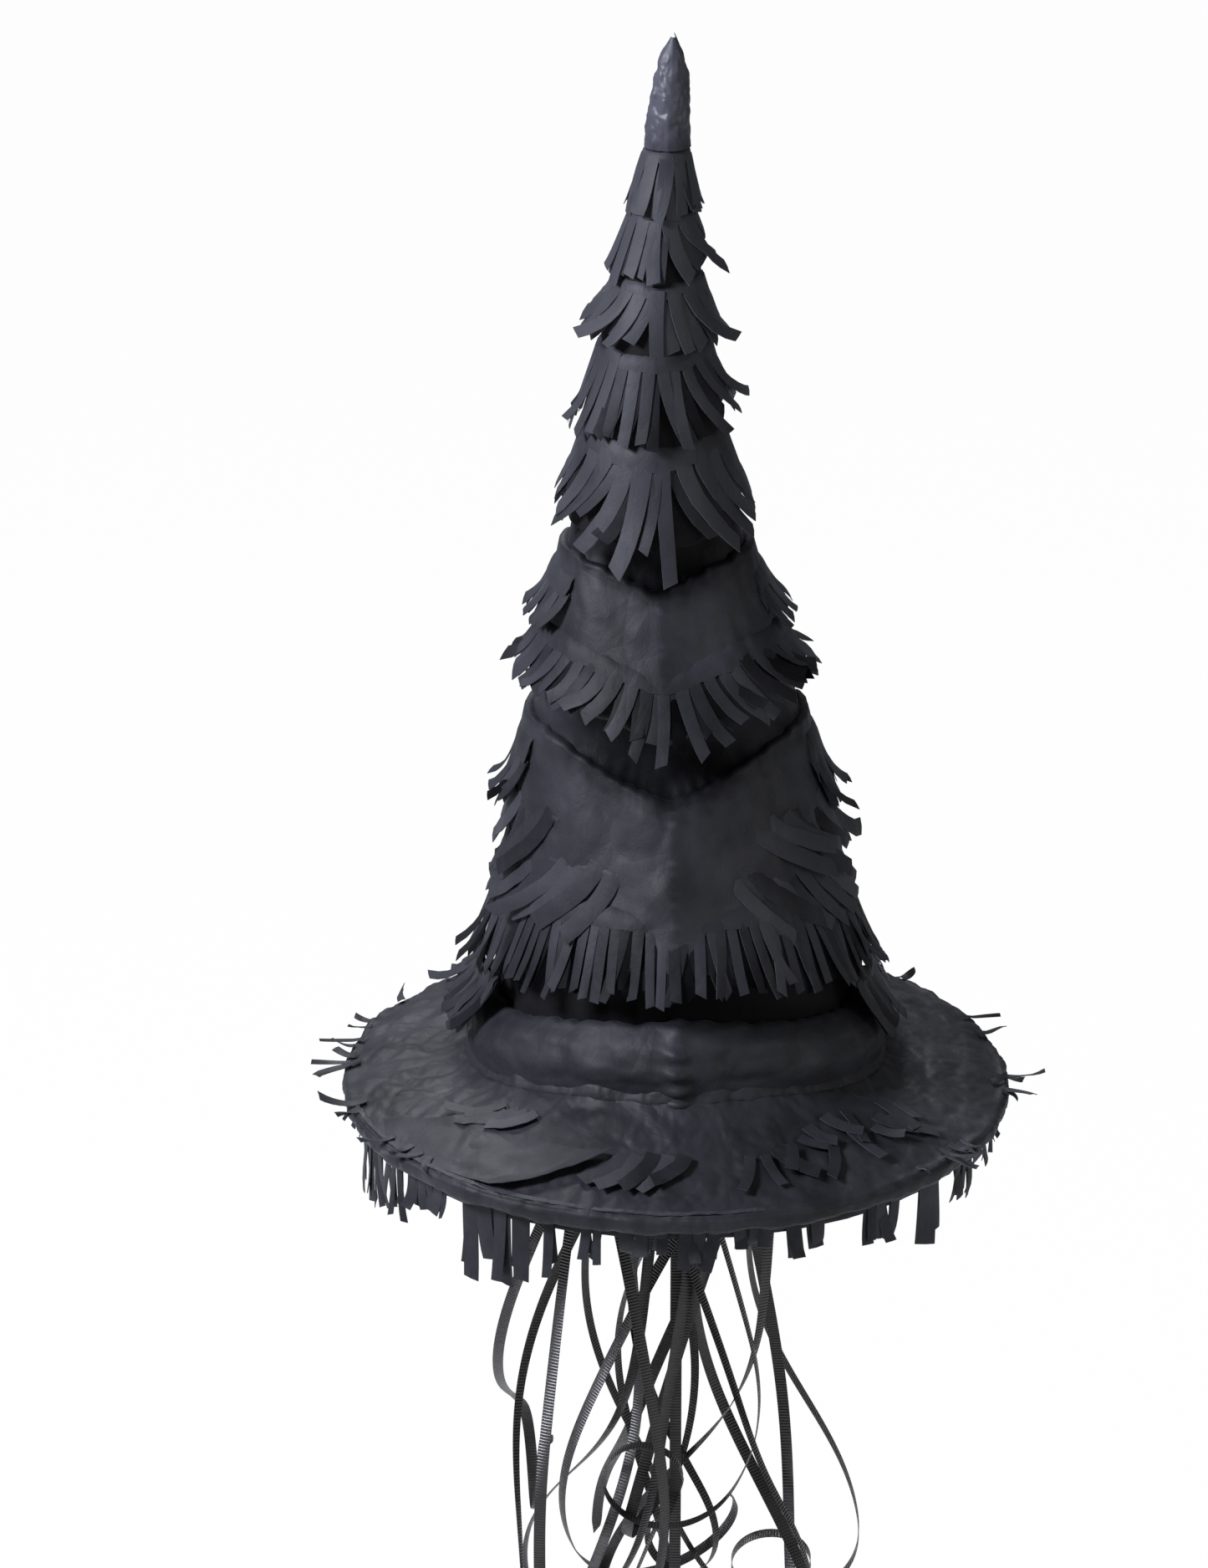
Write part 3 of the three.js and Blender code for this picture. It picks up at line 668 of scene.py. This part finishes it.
def paper_material(name, dark, pale, rough=(0.5, 0.75), crease=0.2, sheen=0.05):
    """Blotchy black tissue, with big facets, fine crinkles and a weak sheen. The tone attribute paints it
    paler or darker, by random spread and by painted light and shade, and where it is dark it also takes away
    the specular and the sheen.
    """
    paper = finish_named(name)
    tone = paper.attribute("tone")
    shade = paper.maths("MULTIPLY_ADD", tone, 0.1, paper.noise(22, 5, 0.6))
    # Dark tone, which paints shade, fades the specular and the sheen too, so that painted hollows stay black.
    gloss = paper.maths("MULTIPLY_ADD", tone, 0.22, 1.0, clamp=True)
    black = tuple(0.1 * v for v in dark)
    flattened = paper.stretched((1, 1, 0.6))
    facets = paper.bump(paper.creases(38, flattened), 0.004, crease)
    crinkles = paper.bump(paper.noise(95, 5, 0.55, 0.8, flattened), 0.0012, 0.4, facets)
    return paper.surface({
        "Base Color": paper.ramp(shade, [(0.05, black), (0.3, dark), (0.72, pale)]),
        "Roughness": paper.maths("MULTIPLY_ADD", paper.noise(60, 3), rough[1] - rough[0], rough[0]),
        "Normal": paper.bump(paper.noise(900, 2), 0.0002, 0.3, crinkles),
        "Specular IOR Level": paper.maths("MULTIPLY", gloss, 0.3),
        "Sheen Weight": paper.maths("MULTIPLY", gloss, sheen),
        "Sheen Roughness": 0.4,
        "Sheen Tint": (0.66, 0.68, 0.9, 1),
    })


def ribbon_material():
    """Glossy curling ribbon with fine ribs across it, in warm black."""
    ribbon = finish_named("ribbon_gloss")
    ribs = ribbon.maths("SINE", ribbon.maths("MULTIPLY", ribbon.attribute("along"), 4200))
    blacks = [(0.3, (0.016, 0.0155, 0.015)), (0.75, (0.045, 0.043, 0.04))]
    return ribbon.surface({
        "Base Color": ribbon.ramp(ribbon.noise(18, 3), blacks),
        "Normal": ribbon.bump(ribs, 0.0002, 0.8),
        "Roughness": 0.3,
        "Specular IOR Level": 0.6,
    })


def card_material():
    """Plain brown board, with the faint lines of its flutes and short fibres."""
    card = finish_named("brown_card")
    fibres = card.noise(220, 5, 0.6, place=card.stretched((1, 6, 6)))
    flutes = card.bump(card.add("TexWave", "Fac", Vector=card.place, Scale=42, Distortion=0.4), 0.0004, 0.25)
    return card.surface({
        "Base Color": card.ramp(fibres, [(0.25, (0.25, 0.16, 0.085)), (0.8, (0.36, 0.24, 0.135))]),
        "Normal": card.bump(fibres, 0.0003, 0.4, flutes),
        "Roughness": 0.85,
    })


def cord_material():
    cord = finish_named("black_cord")
    fuzz = cord.noise(1400, 3)
    return cord.surface({
        "Base Color": cord.ramp(fuzz, [(0.3, (0.008, 0.008, 0.009)), (0.8, (0.04, 0.04, 0.045))]),
        "Normal": cord.bump(fuzz, 0.0003, 0.6),
        "Roughness": 0.75,
        "Sheen Weight": 0.3,
    })


def wood_material():
    wood = finish_named("dowel_wood")
    grain = wood.noise(12, 5, 0.6, 1.2, wood.stretched((2, 40, 40)))
    return wood.surface({
        "Base Color": wood.ramp(grain, [(0.3, (0.42, 0.26, 0.12)), (0.7, (0.62, 0.44, 0.24))]),
        "Normal": wood.bump(grain, 0.0003, 0.4),
        "Roughness": 0.55,
    })


TISSUE = paper_material("black_tissue_cut", (0.014, 0.0145, 0.018), (0.046, 0.048, 0.058), (0.45, 0.7))
CRUMPLED = paper_material("black_tissue_crumpled", (0.012, 0.0125, 0.0155), (0.044, 0.046, 0.055),
                          (0.42, 0.7), 0.4)
# The underlay is painted far darker than the tissue, as painted shade in the gaps and folds where it shows.
UNDERLAY = paper_material("black_underlay", (0.004, 0.004, 0.005), (0.009, 0.009, 0.011), (0.8, 0.95), 0.2, 0)
WRAP_PAPER = paper_material("black_wrap", (0.03, 0.0315, 0.041), (0.1, 0.104, 0.131), (0.28, 0.5), 0.4, 0.05)
# Cut edges are paler: partly the cut fibres of the paper, partly a painted highlight where the edges catch
# the light.
CUT_EDGE = paper_material("cut_paper_edge", (0.06, 0.063, 0.075), (0.1, 0.105, 0.12), (0.7, 0.9), 0.0, 0.05)
RIBBON = ribbon_material()
CARD = card_material()
CORD = cord_material()
WOOD = wood_material()


# ---- The crown ----
def tucked_under(wrap, upper, neck, dip):
    """Rows that carry a section's tissue over its card's top edge and up inside the section above.

    At the front they first run in as far as the neck, which makes the fold, dark from real shade and from
    painted shade. At the sides they run straight.
    """
    over_card = np.array([(-4.6, 1.5), (-3.2, 2.1), (-1.6, 2.0), (-0.3, 1.2)]) * MM
    inset, rise, rows = 3.1 * MM, 6 * MM, 24

    def make(turns):
        out = outwards(turns)
        edge = wrap.at(turns, dip(turns))
        rim = edge[:, None] + out[:, None] * over_card[:, :1] + UP * over_card[:, 1:]
        inner = rim[:, 0]
        goal = upper.at(turns, 1) - out * inset + UP * rise
        hollow = (np.clip(np.cos(turns * 1.1), 0, 1) ** 1.2)[:, None]
        reach = np.linalg.norm((goal - inner)[:, :2], axis=-1, keepdims=True)
        top, hem = neck.at(turns, 0)[:, 2], neck.at(turns, 1)[:, 2]
        controls = []
        for level, share in ((inner[:, 2] + 1 * MM, 1 / 3), (goal[:, 2] - 8 * MM, 2 / 3)):
            deep = neck.at(turns, (top - level) / (top - hem)) - out * 0.12 * reach
            controls.append(deep * hollow + (inner + (goal - inner) * share) * (1 - hollow))
        s = np.linspace(1, 0, rows, endpoint=False)[:, None]
        weights = [(1 - s) ** 3, 3 * s * (1 - s) ** 2, 3 * s**2 * (1 - s), s**3]
        curve = sum(weight * point[:, None] for weight, point in zip(weights, [inner, *controls, goal]))
        return np.concatenate([curve, rim], 1)
    return make


def outwards(turns):
    """Level directions away from the middle, for some angles from the front."""
    return np.stack([np.sin(turns), -np.cos(turns), np.zeros_like(turns)], -1)


def from_front(turns):
    """Angles from -pi to pi."""
    return (turns + math.pi) % (2 * math.pi) - math.pi


def dipping(depth, half):
    """How far down a section starts: its top edge sags at the front."""
    return lambda turns: depth * np.cos(np.clip(np.abs(from_front(turns)) / half, 0, 1) * math.pi / 2) ** 2


def shaded(angle, share):
    """Painted shade and a painted highlight: the tissue is painted dark at the front, where the fold hides
    it, and paler in a thin broken line along the front crease.
    """
    highlight_breaks = noise(np.stack([share * 16, share * 0, share * 0], -1), 1.0, 5)
    # A painted highlight along the front crease, broken up by the noise above.
    crease = 3 * np.exp(-((from_front(angle) / 0.025) ** 2)) * np.clip(highlight_breaks * 3, 0, 1) * (share > 0)
    # Painted shade over the front fold, strongest inside it, with a ragged edge.
    front = np.clip(np.cos(angle * 1.05), 0, 1) ** 0.6
    ragged = noise(np.stack([angle * 9, share * 14, np.zeros_like(angle)], -1), 1.0, 3)
    return crease - 2.8 * front * np.clip(0.62 - share * 6 + 0.4 * ragged, 0, 1)


def front_crease(depth, half):
    """A sharp fold down the front."""
    def shape(angle, share):
        near = np.clip(1 - np.abs(from_front(angle)) / half, 0, 1)
        return depth * near**1.4 * np.clip((share + 0.15) * 4, 0, 1)
    return shape


def section(part, above, neck, dip, fold, seed, crease):
    """The card and the tissue of the middle or the lower section, and its tissue's wrap."""
    skin = Wrap(f"{part}_crown_tissue").smooth()
    # The card starts lower at the front than its CAD solid does.
    card = wrinkled_sheet(f"{part}_crown_card", Wrap(f"{part}_crown"), CARD, (20, 20, 20, 0), 1, fine=2.5,
                          dip=dip, thick=CARD_THICK)
    tissue = wrinkled_sheet(f"{part}_tissue", skin, CRUMPLED, fold, seed, dip=dip, shade=shaded,
                            calm=calm_inside, shape=front_crease(*crease), trail=HEM_TURN,
                            lead=tucked_under(skin, above, Wrap(neck).smooth(), dip))
    return skin, card, tissue


def build_crown():
    # Dark paper covers the card wherever a gap between strips or a fold would show it. It is painted far
    # darker than the tissue, as painted shade in those gaps and folds.
    upper = Wrap("upper_crown").smooth()
    lower_neck = Wrap("crown_neck_lower").smooth()
    thin = (14, 14, 14, 0.35)
    wrinkled_sheet("upper_crown_underlay", upper, UNDERLAY, thin, 31, stands_for=(), off=0.4, fine=2.6,
                   trail=UNDER_HEM)
    wrinkled_sheet("lower_neck_underlay", lower_neck, UNDERLAY, thin, 32, stands_for=(), off=0.5, fine=2.6)

    section("middle", upper, "crown_neck_upper", dipping(0.08, 1.0), (30, 30, 44, 1.2), 5, (2.4 * MM, 0.45))
    middle = Wrap("middle_crown").smooth()
    lower, card, tissue = section("lower", middle, "crown_neck_middle", dipping(0.13, 1.15),
                                  (36, 36, 52, 1.8), 8, (3.6 * MM, 0.4))
    cut_opening(card, "fill_hatch", 0.8 * MM)
    cut_opening(tissue, "fill_hatch", 0.15 * MM)
    for number, (node, row) in enumerate(FRINGE_ROWS.items()):
        fringe(node + "_strips", Wrap(node).smooth(), row, seed=40 + number)

    # Two rows of the lower section reach further round, with wide strips that splay away from the crease.
    for side, near, far in (("left", (-0.3, -0.8), -2.7), ("right", (0.3, 0.5), 2.7)):
        node = f"crown_fringe_09_{side}"
        for row, (top, hem) in enumerate([(0.5, 0.97), (0.3, 0.78)]):
            splayed = Window(lower, top, hem, [tuple(sorted((near[row], far)))])
            fringe(f"{node}_splayed_{row + 1}", splayed, SPLAYED, seed=90 + row, node=node, layers=1,
                   off=0.8 * row * MM)

    wrinkled_sheet("tip_tissue", Wrap("tip_wrap").smooth(2), WRAP_PAPER, (7, 7, 9, 1.3), 14, fine=0.6,
                   shape=pinched_tip, dip=lambda turns: np.full_like(turns, 0.015), trail=[(0.3, -4)],
                   calm=lambda share: np.clip(share * 3, 0.1, 1) * np.clip(1.7 - share, 0.25, 1))


def calm_inside(share):
    """Crumples fade where the tissue is tucked inside."""
    return np.clip(1 + (share + 0.02) * 3, 0.15, 1)


def pinched_tip(angle, share):
    """The wrap is pinched flatter towards the very tip, and pressed down at the back, where the loop lies."""
    above = np.clip(1 - share, 0, 1)
    pressed = 0.9 * MM * np.clip(-np.cos(angle), 0, 1) ** 2 * np.clip(above * 3, 0, 1)
    return 0.7 * MM * np.sin(angle) ** 2 * above * np.clip(share * 5, 0, 1) - pressed


# ---- Collar and brim ----
def build_brim():
    collar = Wrap("collar_tissue").smooth(2)
    wrinkled_sheet("collar_roll", collar, CRUMPLED, (34, 34, 18, 1.6), 17, off=0.3, fine=1.3,
                   shape=collar_seam, lead=COLLAR_TOP, trail=COLLAR_FOOT,
                   calm=lambda share: np.clip(4 - share * 4, 0, 1))
    top = Wrap("brim_top_tissue", lying="top").smooth(2)
    wrinkled_sheet("brim_tissue", top, CRUMPLED, (15, 15, 30, 1.9), 19, off=-0.2, fine=1.3, shape=rim_fold,
                   lead=BRIM_ROOT, trail=RIM_TURN)
    # A big loose sheet lies over the left front, and a folded edge of paper runs along the rim.
    sheet = Window(top, 0.45, 0.95, [(-0.9, -0.24)], skew=-0.3)
    wrinkled_sheet("brim_loose_sheet", sheet, CRUMPLED, (26, 26, 26, 1.8), 24, stands_for=(), off=1.3,
                   shape=lifted_sides)
    edge = Window(top, 0.955, 0.985, [(-1.3, 0.25)])
    wrinkled_sheet("brim_folded_edge", edge, CRUMPLED, (9, 9, 9, 1.1), 25, stands_for=(), off=1.6, fine=1.0,
                   shade=lambda angle, share: np.full_like(angle, 3.0))
    pasted("brim_fringe_left", 5, (-0.8, -0.62), (0.2, 0.34), (22, 30), (5, 6.5), (-1.0, -0.8))
    pasted("brim_fringe_front", 5, (-0.2, 0.02), (0.3, 0.4), (21, 27), (6.5, 8), (-0.75, -0.5))
    pasted("brim_fringe_right", 15, (0.25, 1.0), (0.1, 0.6), (14, 26), (4.5, 8), (-0.5, 1.0))
    for side in ("left", "right"):
        loose_ends(f"brim_edge_fringe_{side}")
    skirt()


def lifted_sides(angle, share):
    """The loose sheet's side edges curl up a little."""
    middle, half = -0.57, 0.33
    aside = (angle - middle) / half
    return 3 * MM * np.clip(aside, 0, 1) ** 4 + 0.6 * MM * np.abs(aside) ** 6


def pasted(node, count, turns, shares, lengths, widths, leans):
    """Strips that lie flat on the brim, side by side or scattered. Each pair is a range."""
    own = drawn(count, start=shares, long=lengths, lean=leans, lift=(0.3, 1.6), curl=0.6, twist=0.08,
                width=widths, slant=(-0.3, 0.3), tone=0.9)
    own["tone"] += 0.3
    strips = cut_strips(Wrap(node, lying="top"), np.linspace(*turns, count), taper=(1, 0.96), cup=0.03, **own)
    fringe_piece(node + "_strips", [strips], "hat", node)


def collar_seam(angle, share):
    """The roll's ends meet in a crumpled seam at the front."""
    return np.exp(-((from_front(angle) / 0.05) ** 2)) * (1.6 + 1.2 * np.sin(share * 23)) * MM


def rim_fold(angle, share):
    """The brim's tissue runs up on the collar in a hollow, and is thicker where it turns over the rim."""
    rim = 1.2 * MM * np.exp(-(((share - 0.985) / 0.03) ** 2)) * (0.7 + 0.5 * np.sin(angle * 9))
    return rim + 1.2 * MM * np.exp(-((share / 0.08) ** 2))


def loose_ends(node, count=15):
    """A few long thin ends that stick out past the brim's edge."""
    wrap = Wrap(node, lying="top")
    begin, end = wrap.spans()[0]
    angle = begin + (end - begin) * np.sort(random.random(count))
    own = drawn(count, start=(0.1, 0.5), long=(8, 24), lean=0.55, lift=(-3, 5), curl=1.5, twist=0.7,
                width=(2, 4.5), slant=(-0.4, 0.4), tone=0.5)
    fringe_piece(node + "_strips", [cut_strips(wrap, angle, taper=(1, 0.85), cup=0.1, **own)], "hat", node)


def skirt():
    """Strips in clumps hang under the rim, two and two over each other."""
    wrap = Wrap("brim_skirt_fringe")
    top = band(wrap, -math.pi, math.pi, 0.16, 0.2 * MM, True, 77)
    strips = [(top, np.zeros(len(top[0])))]
    for begin, end, longest, width in SKIRT_CLUMPS:
        turn = math.radians(end - begin)
        pairs = max(1, int(turn * wrap.radius / (width * MM)))
        count = 2 * pairs
        angle = math.radians(begin) + (np.arange(pairs) + 0.5) * turn / pairs
        angle = np.repeat(angle, 2) + random.normal(0, 0.006, count)
        own = drawn(count, long=(0.72 * longest, 1.05 * longest), lean=0.1, lift=(-2, 3), curl=1.5,
                    twist=0.25, width=(0.75 * width, width), slant=(-0.25, 0.25), tone=0.5)
        rise = (np.arange(count) % 2)[:, None, None] * 0.8 * MM
        strips.append(cut_strips(wrap, angle, np.zeros(count), rise=rise, **own))
    fringe_piece("brim_skirt_strips", strips, "hat", "brim_skirt_fringe")


# ---- Underside ----
def flat_sheet(low, high, depth, seed):
    """A crumpled flat sheet that fills a box's plan and hangs from its top."""
    columns, rows = [max(4, int(run / (2 * MM))) for run in (high.x - low.x, high.y - low.y)]
    x, y = np.meshgrid(np.linspace(low.x, high.x, columns), np.linspace(low.y, high.y, rows), indexing="ij")
    base = np.stack([x, y, np.full_like(x, high.z)], -1)
    drop = (crumple(base, 14 * MM, depth * MM, seed) + (depth + 0.3) * MM)[..., None]
    return sheet_faces(base - UP * drop, base - UP * 0.1 * MM, False)


def flat_tissue(name, node, body, material, depth, seed):
    """A crumpled flat sheet in place of a flat CAD layer."""
    shown_paper(name, flat_sheet(*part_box(node), depth, seed), material, body, (node,))


def header_tape():
    """The tape under the door, whose two ends are sleeves round the ribbons' cord."""
    low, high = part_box("ribbon_header_tape")
    _, y, z = middle_of("ribbon_header_cord")
    parts = [flat_sheet(Vector((low.x, high.y - 11 * MM, low.z)), high, 0.2, 54)]
    radius, wide = 2.3 * MM, 3 * MM
    turn = np.radians(np.linspace(0, 330, 20))
    ring = np.stack([y - radius * np.sin(turn), z + radius * np.cos(turn)], -1)
    line = np.vstack([[(high.y - 6 * MM, high.z - 0.7 * MM), (y + 4 * MM, high.z - 0.9 * MM)], ring])
    for x in (low.x + wide / 2, high.x - wide / 2):
        path = np.column_stack([np.full(len(line), x), line])[None]
        side = np.zeros_like(path) + (1, 0, 0)
        up = np.cross(tangents(path), side)
        parts.append(strip_faces(path, side, up, np.full(path.shape[:2], wide), 0.5 * MM, 0.02))
    verts, faces, edges = joined(parts)
    tape = (verts, faces, 0 * edges)  # cut with a glossy edge, not a pale one
    shown_paper("ribbon_header_sleeves", tape, WRAP_PAPER, "trap_door", ("ribbon_header_tape",))


def build_underside():
    under = Wrap("brim_under_tissue", lying="below")
    wrinkled_sheet("under_tissue", under, CRUMPLED, (14, 14, 14, 0.8), 23, fine=2.2)
    flat_tissue("door_tissue", "trap_door_tissue", "trap_door", CRUMPLED, 0.5, 51)
    flat_tissue("seal_tape", "door_seal_tape", "hat", WRAP_PAPER, 0.25, 52)
    flat_tissue("hinge_tape", "door_hinge_tape", "hat", WRAP_PAPER, 0.25, 53)
    header_tape()


# ---- Ribbons ----
def middle_of(node):
    low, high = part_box(node)
    return (low + high) / 2


def top_of(node, depth=4 * MM):
    """The middle of a piece's topmost part."""
    points = np.array([v.co for v in frame["nodes"][node].data.vertices])
    near = points[points[:, 2] > points[:, 2].max() - depth]
    return (near.min(0) + near.max(0)) / 2


def curling_path(start, heading, facing, long, bends, step=3 * MM):
    """A ribbon that only bends about its own width: points, side directions and up directions.

    bends is a function of the distance along that gives the curvature and the twist, per metre.
    """
    d, n = Vector(heading).normalized(), Vector(facing)
    n = (n - d * n.dot(d)).normalized()
    p = Vector(start)
    points, sides, ups = [], [], []
    for k in range(int(long / step) + 1):
        w = d.cross(n)
        points.append(p.copy())
        sides.append(w)
        ups.append(n.copy())
        curve, twist = bends(k * step)
        p = p + d * step
        fall = Vector((0, 0, -1))
        d = (d + n * (curve * step) + (fall - d * fall.dot(d)) * (RIBBON_FALL * step)).normalized()
        n = n + w * (twist * step)
        n = (n - d * n.dot(d)).normalized()
    return np.array(points), np.array(sides), np.array(ups)


def ribbon_piece(name, node, body, tails):
    parts, along = [], []
    for points, sides, ups in tails:
        width = np.full((1, len(points)), RIBBON_WIDTH)
        width[:, -3:] *= np.array([0.95, 0.8, 0.6])
        parts.append(strip_faces(points[None], sides[None], ups[None], width, RIBBON_THICK, 0.05, 0.6))
        along.append(np.repeat(run_along(points), RING))
    piece = shown_paper(name, joined(parts), RIBBON, body, (node,))
    point_values(piece.data, "along", np.concatenate(along))


def knot_loop(x, y, z):
    """The part of a ribbon that goes round the header cord."""
    a = np.linspace(0, 2 * math.pi, 17)
    out = np.stack([np.zeros_like(a), np.sin(a), np.cos(a)], -1)
    return np.array([x, y, z]) + KNOT_RADIUS * out, np.tile([1.0, 0, 0], (len(a), 1)), out


def build_ribbons():
    header = middle_of("ribbon_header_cord")
    nodes = [f"ribbon_{i:02d}" for i in range(1, 11)]
    floor = min(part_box(node)[0].z for node in nodes)
    for node in nodes:
        x = float(top_of(node)[0])
        tails = [one_tail(x, header, side, floor) for side in (-1, 1)]
        ribbon_piece(node + "_curls", node, "ribbons", [knot_loop(x, header.y, header.z)] + tails)
    x = float(top_of("release_ribbon")[0])
    long = header.z - floor - 2 * MM
    plumb = curling_path((x, header.y - 2.4 * MM, header.z), (0, 0, -1), (0, -1, 0), long,
                         lambda s: (0.6 * math.sin(30 * s), 0))
    # The release ribbon is tied to the cord.
    top, free = [Vector((x, header.y, header.z - drop * MM)) for drop in (4, 34)]
    ribbon_piece("release_ribbon_curl", "release_ribbon", ("ribbon_header", "ribbons", top, free),
                 [knot_loop(x, header.y, header.z), plumb])


def one_tail(x, header, tail_side, floor):
    """One end of a ribbon: straight at first, then wavy, with a curl near its end. Tries until it fits."""
    for _ in range(300):
        heading = (random.normal(-3 * x, 0.4), 0.22 * tail_side + random.normal(0, 0.15), -1)
        curly = random.random() < 0.45
        spin = random.uniform(0.6, 1.1) * random.choice([-1, 1]) if curly else random.normal(0, 0.35)
        facing = (math.sin(spin), tail_side * math.cos(spin), 0)
        straight = random.uniform(0.04, 0.16)
        wave = random.uniform(5, 13) * random.choice([-1, 1])
        tight = random.uniform(30, 80) * random.choice([-1, 1]) if curly else random.normal(0, 14)
        twist = random.normal(0, 4)
        long = random.uniform(0.28, 0.46)
        bend_at = random.uniform(0.5, 0.75)

        def bends(s):
            if s < straight:
                return 0.0, twist * 0.5
            late = max(0.0, (s - bend_at * long) / ((1 - bend_at) * long))
            return wave * math.sin((s - straight) * 22) + tight * late**0.7, twist

        start = (x, header.y + tail_side * 2.2 * MM, header.z)
        path = curling_path(start, heading, facing, long, bends)
        low, high = path[0].min(0), path[0].max(0)
        if (low > (-0.1, -0.125, floor + 1 * MM)).all() and (high < (0.1, 0.06, header.z + 3 * MM)).all():
            return path
    return path


# ---- Cords ----
def twisted(name, node, body, line, radius, strands=3, pitch=7 * MM):
    """A laid cord: strands wound round a line of points."""
    line = np.asarray(line, float)
    run = run_along(line)
    even = np.linspace(0, run[-1], max(8, int(run[-1] / CORD_STEP)))
    path = np.stack([np.interp(even, run, line[:, k]) for k in range(3)], -1)
    for _ in range(6):
        path[1:-1] = (path[:-2] + 2 * path[1:-1] + path[2:]) / 4
    tangent = tangents(path)
    across = unit(np.cross(tangent, [0.31, 0.86, 0.4]))[:, None]
    other = np.cross(tangent, across[:, 0])[:, None]

    def circle(turn):
        return across * np.cos(turn)[..., None] + other * np.sin(turn)[..., None]

    ring = circle(np.linspace(0, 2 * math.pi, RING, endpoint=False)[None])
    turns = 2 * math.pi * (even / pitch + np.arange(strands)[:, None] / strands)
    verts = [path[:, None] + circle(turn[:, None]) * radius * 0.5 + ring * radius * 0.54 for turn in turns]
    cord = (np.reshape(verts, (-1, 3)), *ring_faces(strands, len(path)))
    shown_paper(name, cord, CORD, body, (node,))


def centre_line(node, steps=60):
    """Centres of a long piece's slices from its top to its bottom."""
    points = np.array([v.co for v in frame["nodes"][node].data.vertices])
    levels = np.linspace(points[:, 2].max(), points[:, 2].min(), steps)
    width = (levels[0] - levels[-1]) / steps * 2.5
    line = []
    for z in levels:
        near = points[abs(points[:, 2] - z) < width]
        if len(near):
            line.append([*((near.min(0) + near.max(0)) / 2)[:2], z])
    return line


def build_cords():
    low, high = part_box("ribbon_header_cord")
    _, y, z = middle_of("ribbon_header_cord")
    twisted("header_cord", "ribbon_header_cord", "ribbon_header", [(low.x, y, z), (high.x, y, z)], 1.5 * MM)

    low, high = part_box("hanging_loop")
    knot = top_of("hanging_loop")
    knot[0] = (low.x + high.x) / 2
    size = np.array([(high.x - low.x) / 2 - MM, high.y - knot[1], low.z - knot[2]])
    legs = [(knot + LOOP_LEG * size * (side, 1, 1)).tolist() for side in (-1, 1)]
    line = legs[0] + [(knot[0], high.y - MM, low.z + MM)] + legs[1][::-1]
    twisted("hanging_loop_cord", "hanging_loop", "hanging_loop", line, 0.9 * MM, 2, 5 * MM)
    twisted("hanging_cord_laid", "hanging_cord", "hat", centre_line("hanging_cord"), 1.1 * MM)


# ---- Fill hatch ----
def build_hatch():
    wrinkled_sheet("hatch_tissue", Wrap("fill_hatch_tissue"), CRUMPLED, (20, 20, 20, 1.0), 61, "fill_hatch")
    row = dict(width=5.6, uncut=0.3, lean=(6, 6), lift=(2, 3, 3))
    fringe("hatch_strips", Wrap("fill_hatch_fringe"), row, "fill_hatch", seed=62)


def paint_frame():
    """The card and the wood of the CAD frame keep their shape and only take a finish."""
    finishes = {"card": CARD, "wood": WOOD, "cord": CORD, "wrap_paper": WRAP_PAPER}
    slots = {part["node"]: part["material_slot"] for part in frame["record"]["subparts"]}
    for name, node in frame["nodes"].items():
        if not node.hide_render:
            node.data.materials.clear()
            node.data.materials.append(finishes.get(slots[name], CRUMPLED))


# ---- Stage ----
def build_stage():
    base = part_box("base_board")[0].z
    bpy.ops.mesh.primitive_plane_add(size=60, location=(0, 0, -0.25))
    floor = bpy.context.object
    floor.name = "floor"
    pale = finish_named("pale_floor")
    floor.data.materials.append(pale.surface({"Base Color": (0.9, 0.9, 0.9, 1), "Roughness": 0.9}))
    nodes = pale.tree.nodes
    seen_as_white(pale, nodes["Principled BSDF"].outputs["BSDF"], nodes["Material Output"], 0.98)

    world = bpy.data.worlds.new("studio")
    bpy.context.scene.world = world
    sky = Finish(world)
    nodes = sky.tree.nodes
    sky.put(nodes["Background"].inputs["Color"], (0.93, 0.95, 1, 1))
    sky.put(nodes["Background"].inputs["Strength"], 0.12)
    seen_as_white(sky, nodes["Background"].outputs["Background"], nodes["World Output"], 1.0)

    soft_light("key_left", (-1.1, -0.62, base + 1.05), 0.45, 27, (0.88, 0.89, 1.0), base)
    soft_light("fill_right", (1.9, -1.2, base + 0.8), 1.2, 7.5, (1.0, 0.98, 0.95), base)
    soft_light("top_back", (-0.5, 1.4, base + 2.1), 1.0, 42, (0.97, 0.98, 1.0), base)

    elevation = math.radians(CAMERA["elevation"])
    target = Vector((CAMERA["aside"], 0, base + CAMERA["height"]))
    back = Vector((0, -math.cos(elevation), math.sin(elevation)))
    camera = aimed("camera", bpy.data.cameras.new("camera"), target + back * CAMERA["distance"], target)
    camera.data.lens = CAMERA["lens"]
    bpy.context.scene.camera = camera
    bpy.context.scene.view_settings.view_transform = "Standard"


def seen_as_white(finish, own, output, share):
    """Mixes white into what the camera sees of a surface, which then still lights the hat as it did."""
    seen = finish.maths("MULTIPLY", finish.add("LightPath", "Is Camera Ray"), share)
    white = finish.add("Emission", "Emission")
    finish.put(output.inputs["Surface"], finish.add("MixShader", "Shader", seen, own, white))


def aimed(name, data, place, target):
    """An object that looks at a point."""
    made = bpy.data.objects.new(name, data)
    bpy.context.scene.collection.objects.link(made)
    made.location = place
    made.rotation_mode = "QUATERNION"
    made.rotation_quaternion = (Vector(target) - Vector(place)).to_track_quat("-Z", "Y")
    return made


def soft_light(name, place, size, power, colour, base):
    light = bpy.data.lights.new(name, "AREA")
    light.shape = "DISK"
    light.size = size
    light.energy = power
    light.color = colour
    aimed(name, light, place, (0, 0, base + 0.2))


build_crown()
build_brim()
build_underside()
build_ribbons()
build_cords()
build_hatch()
paint_frame()
build_stage()
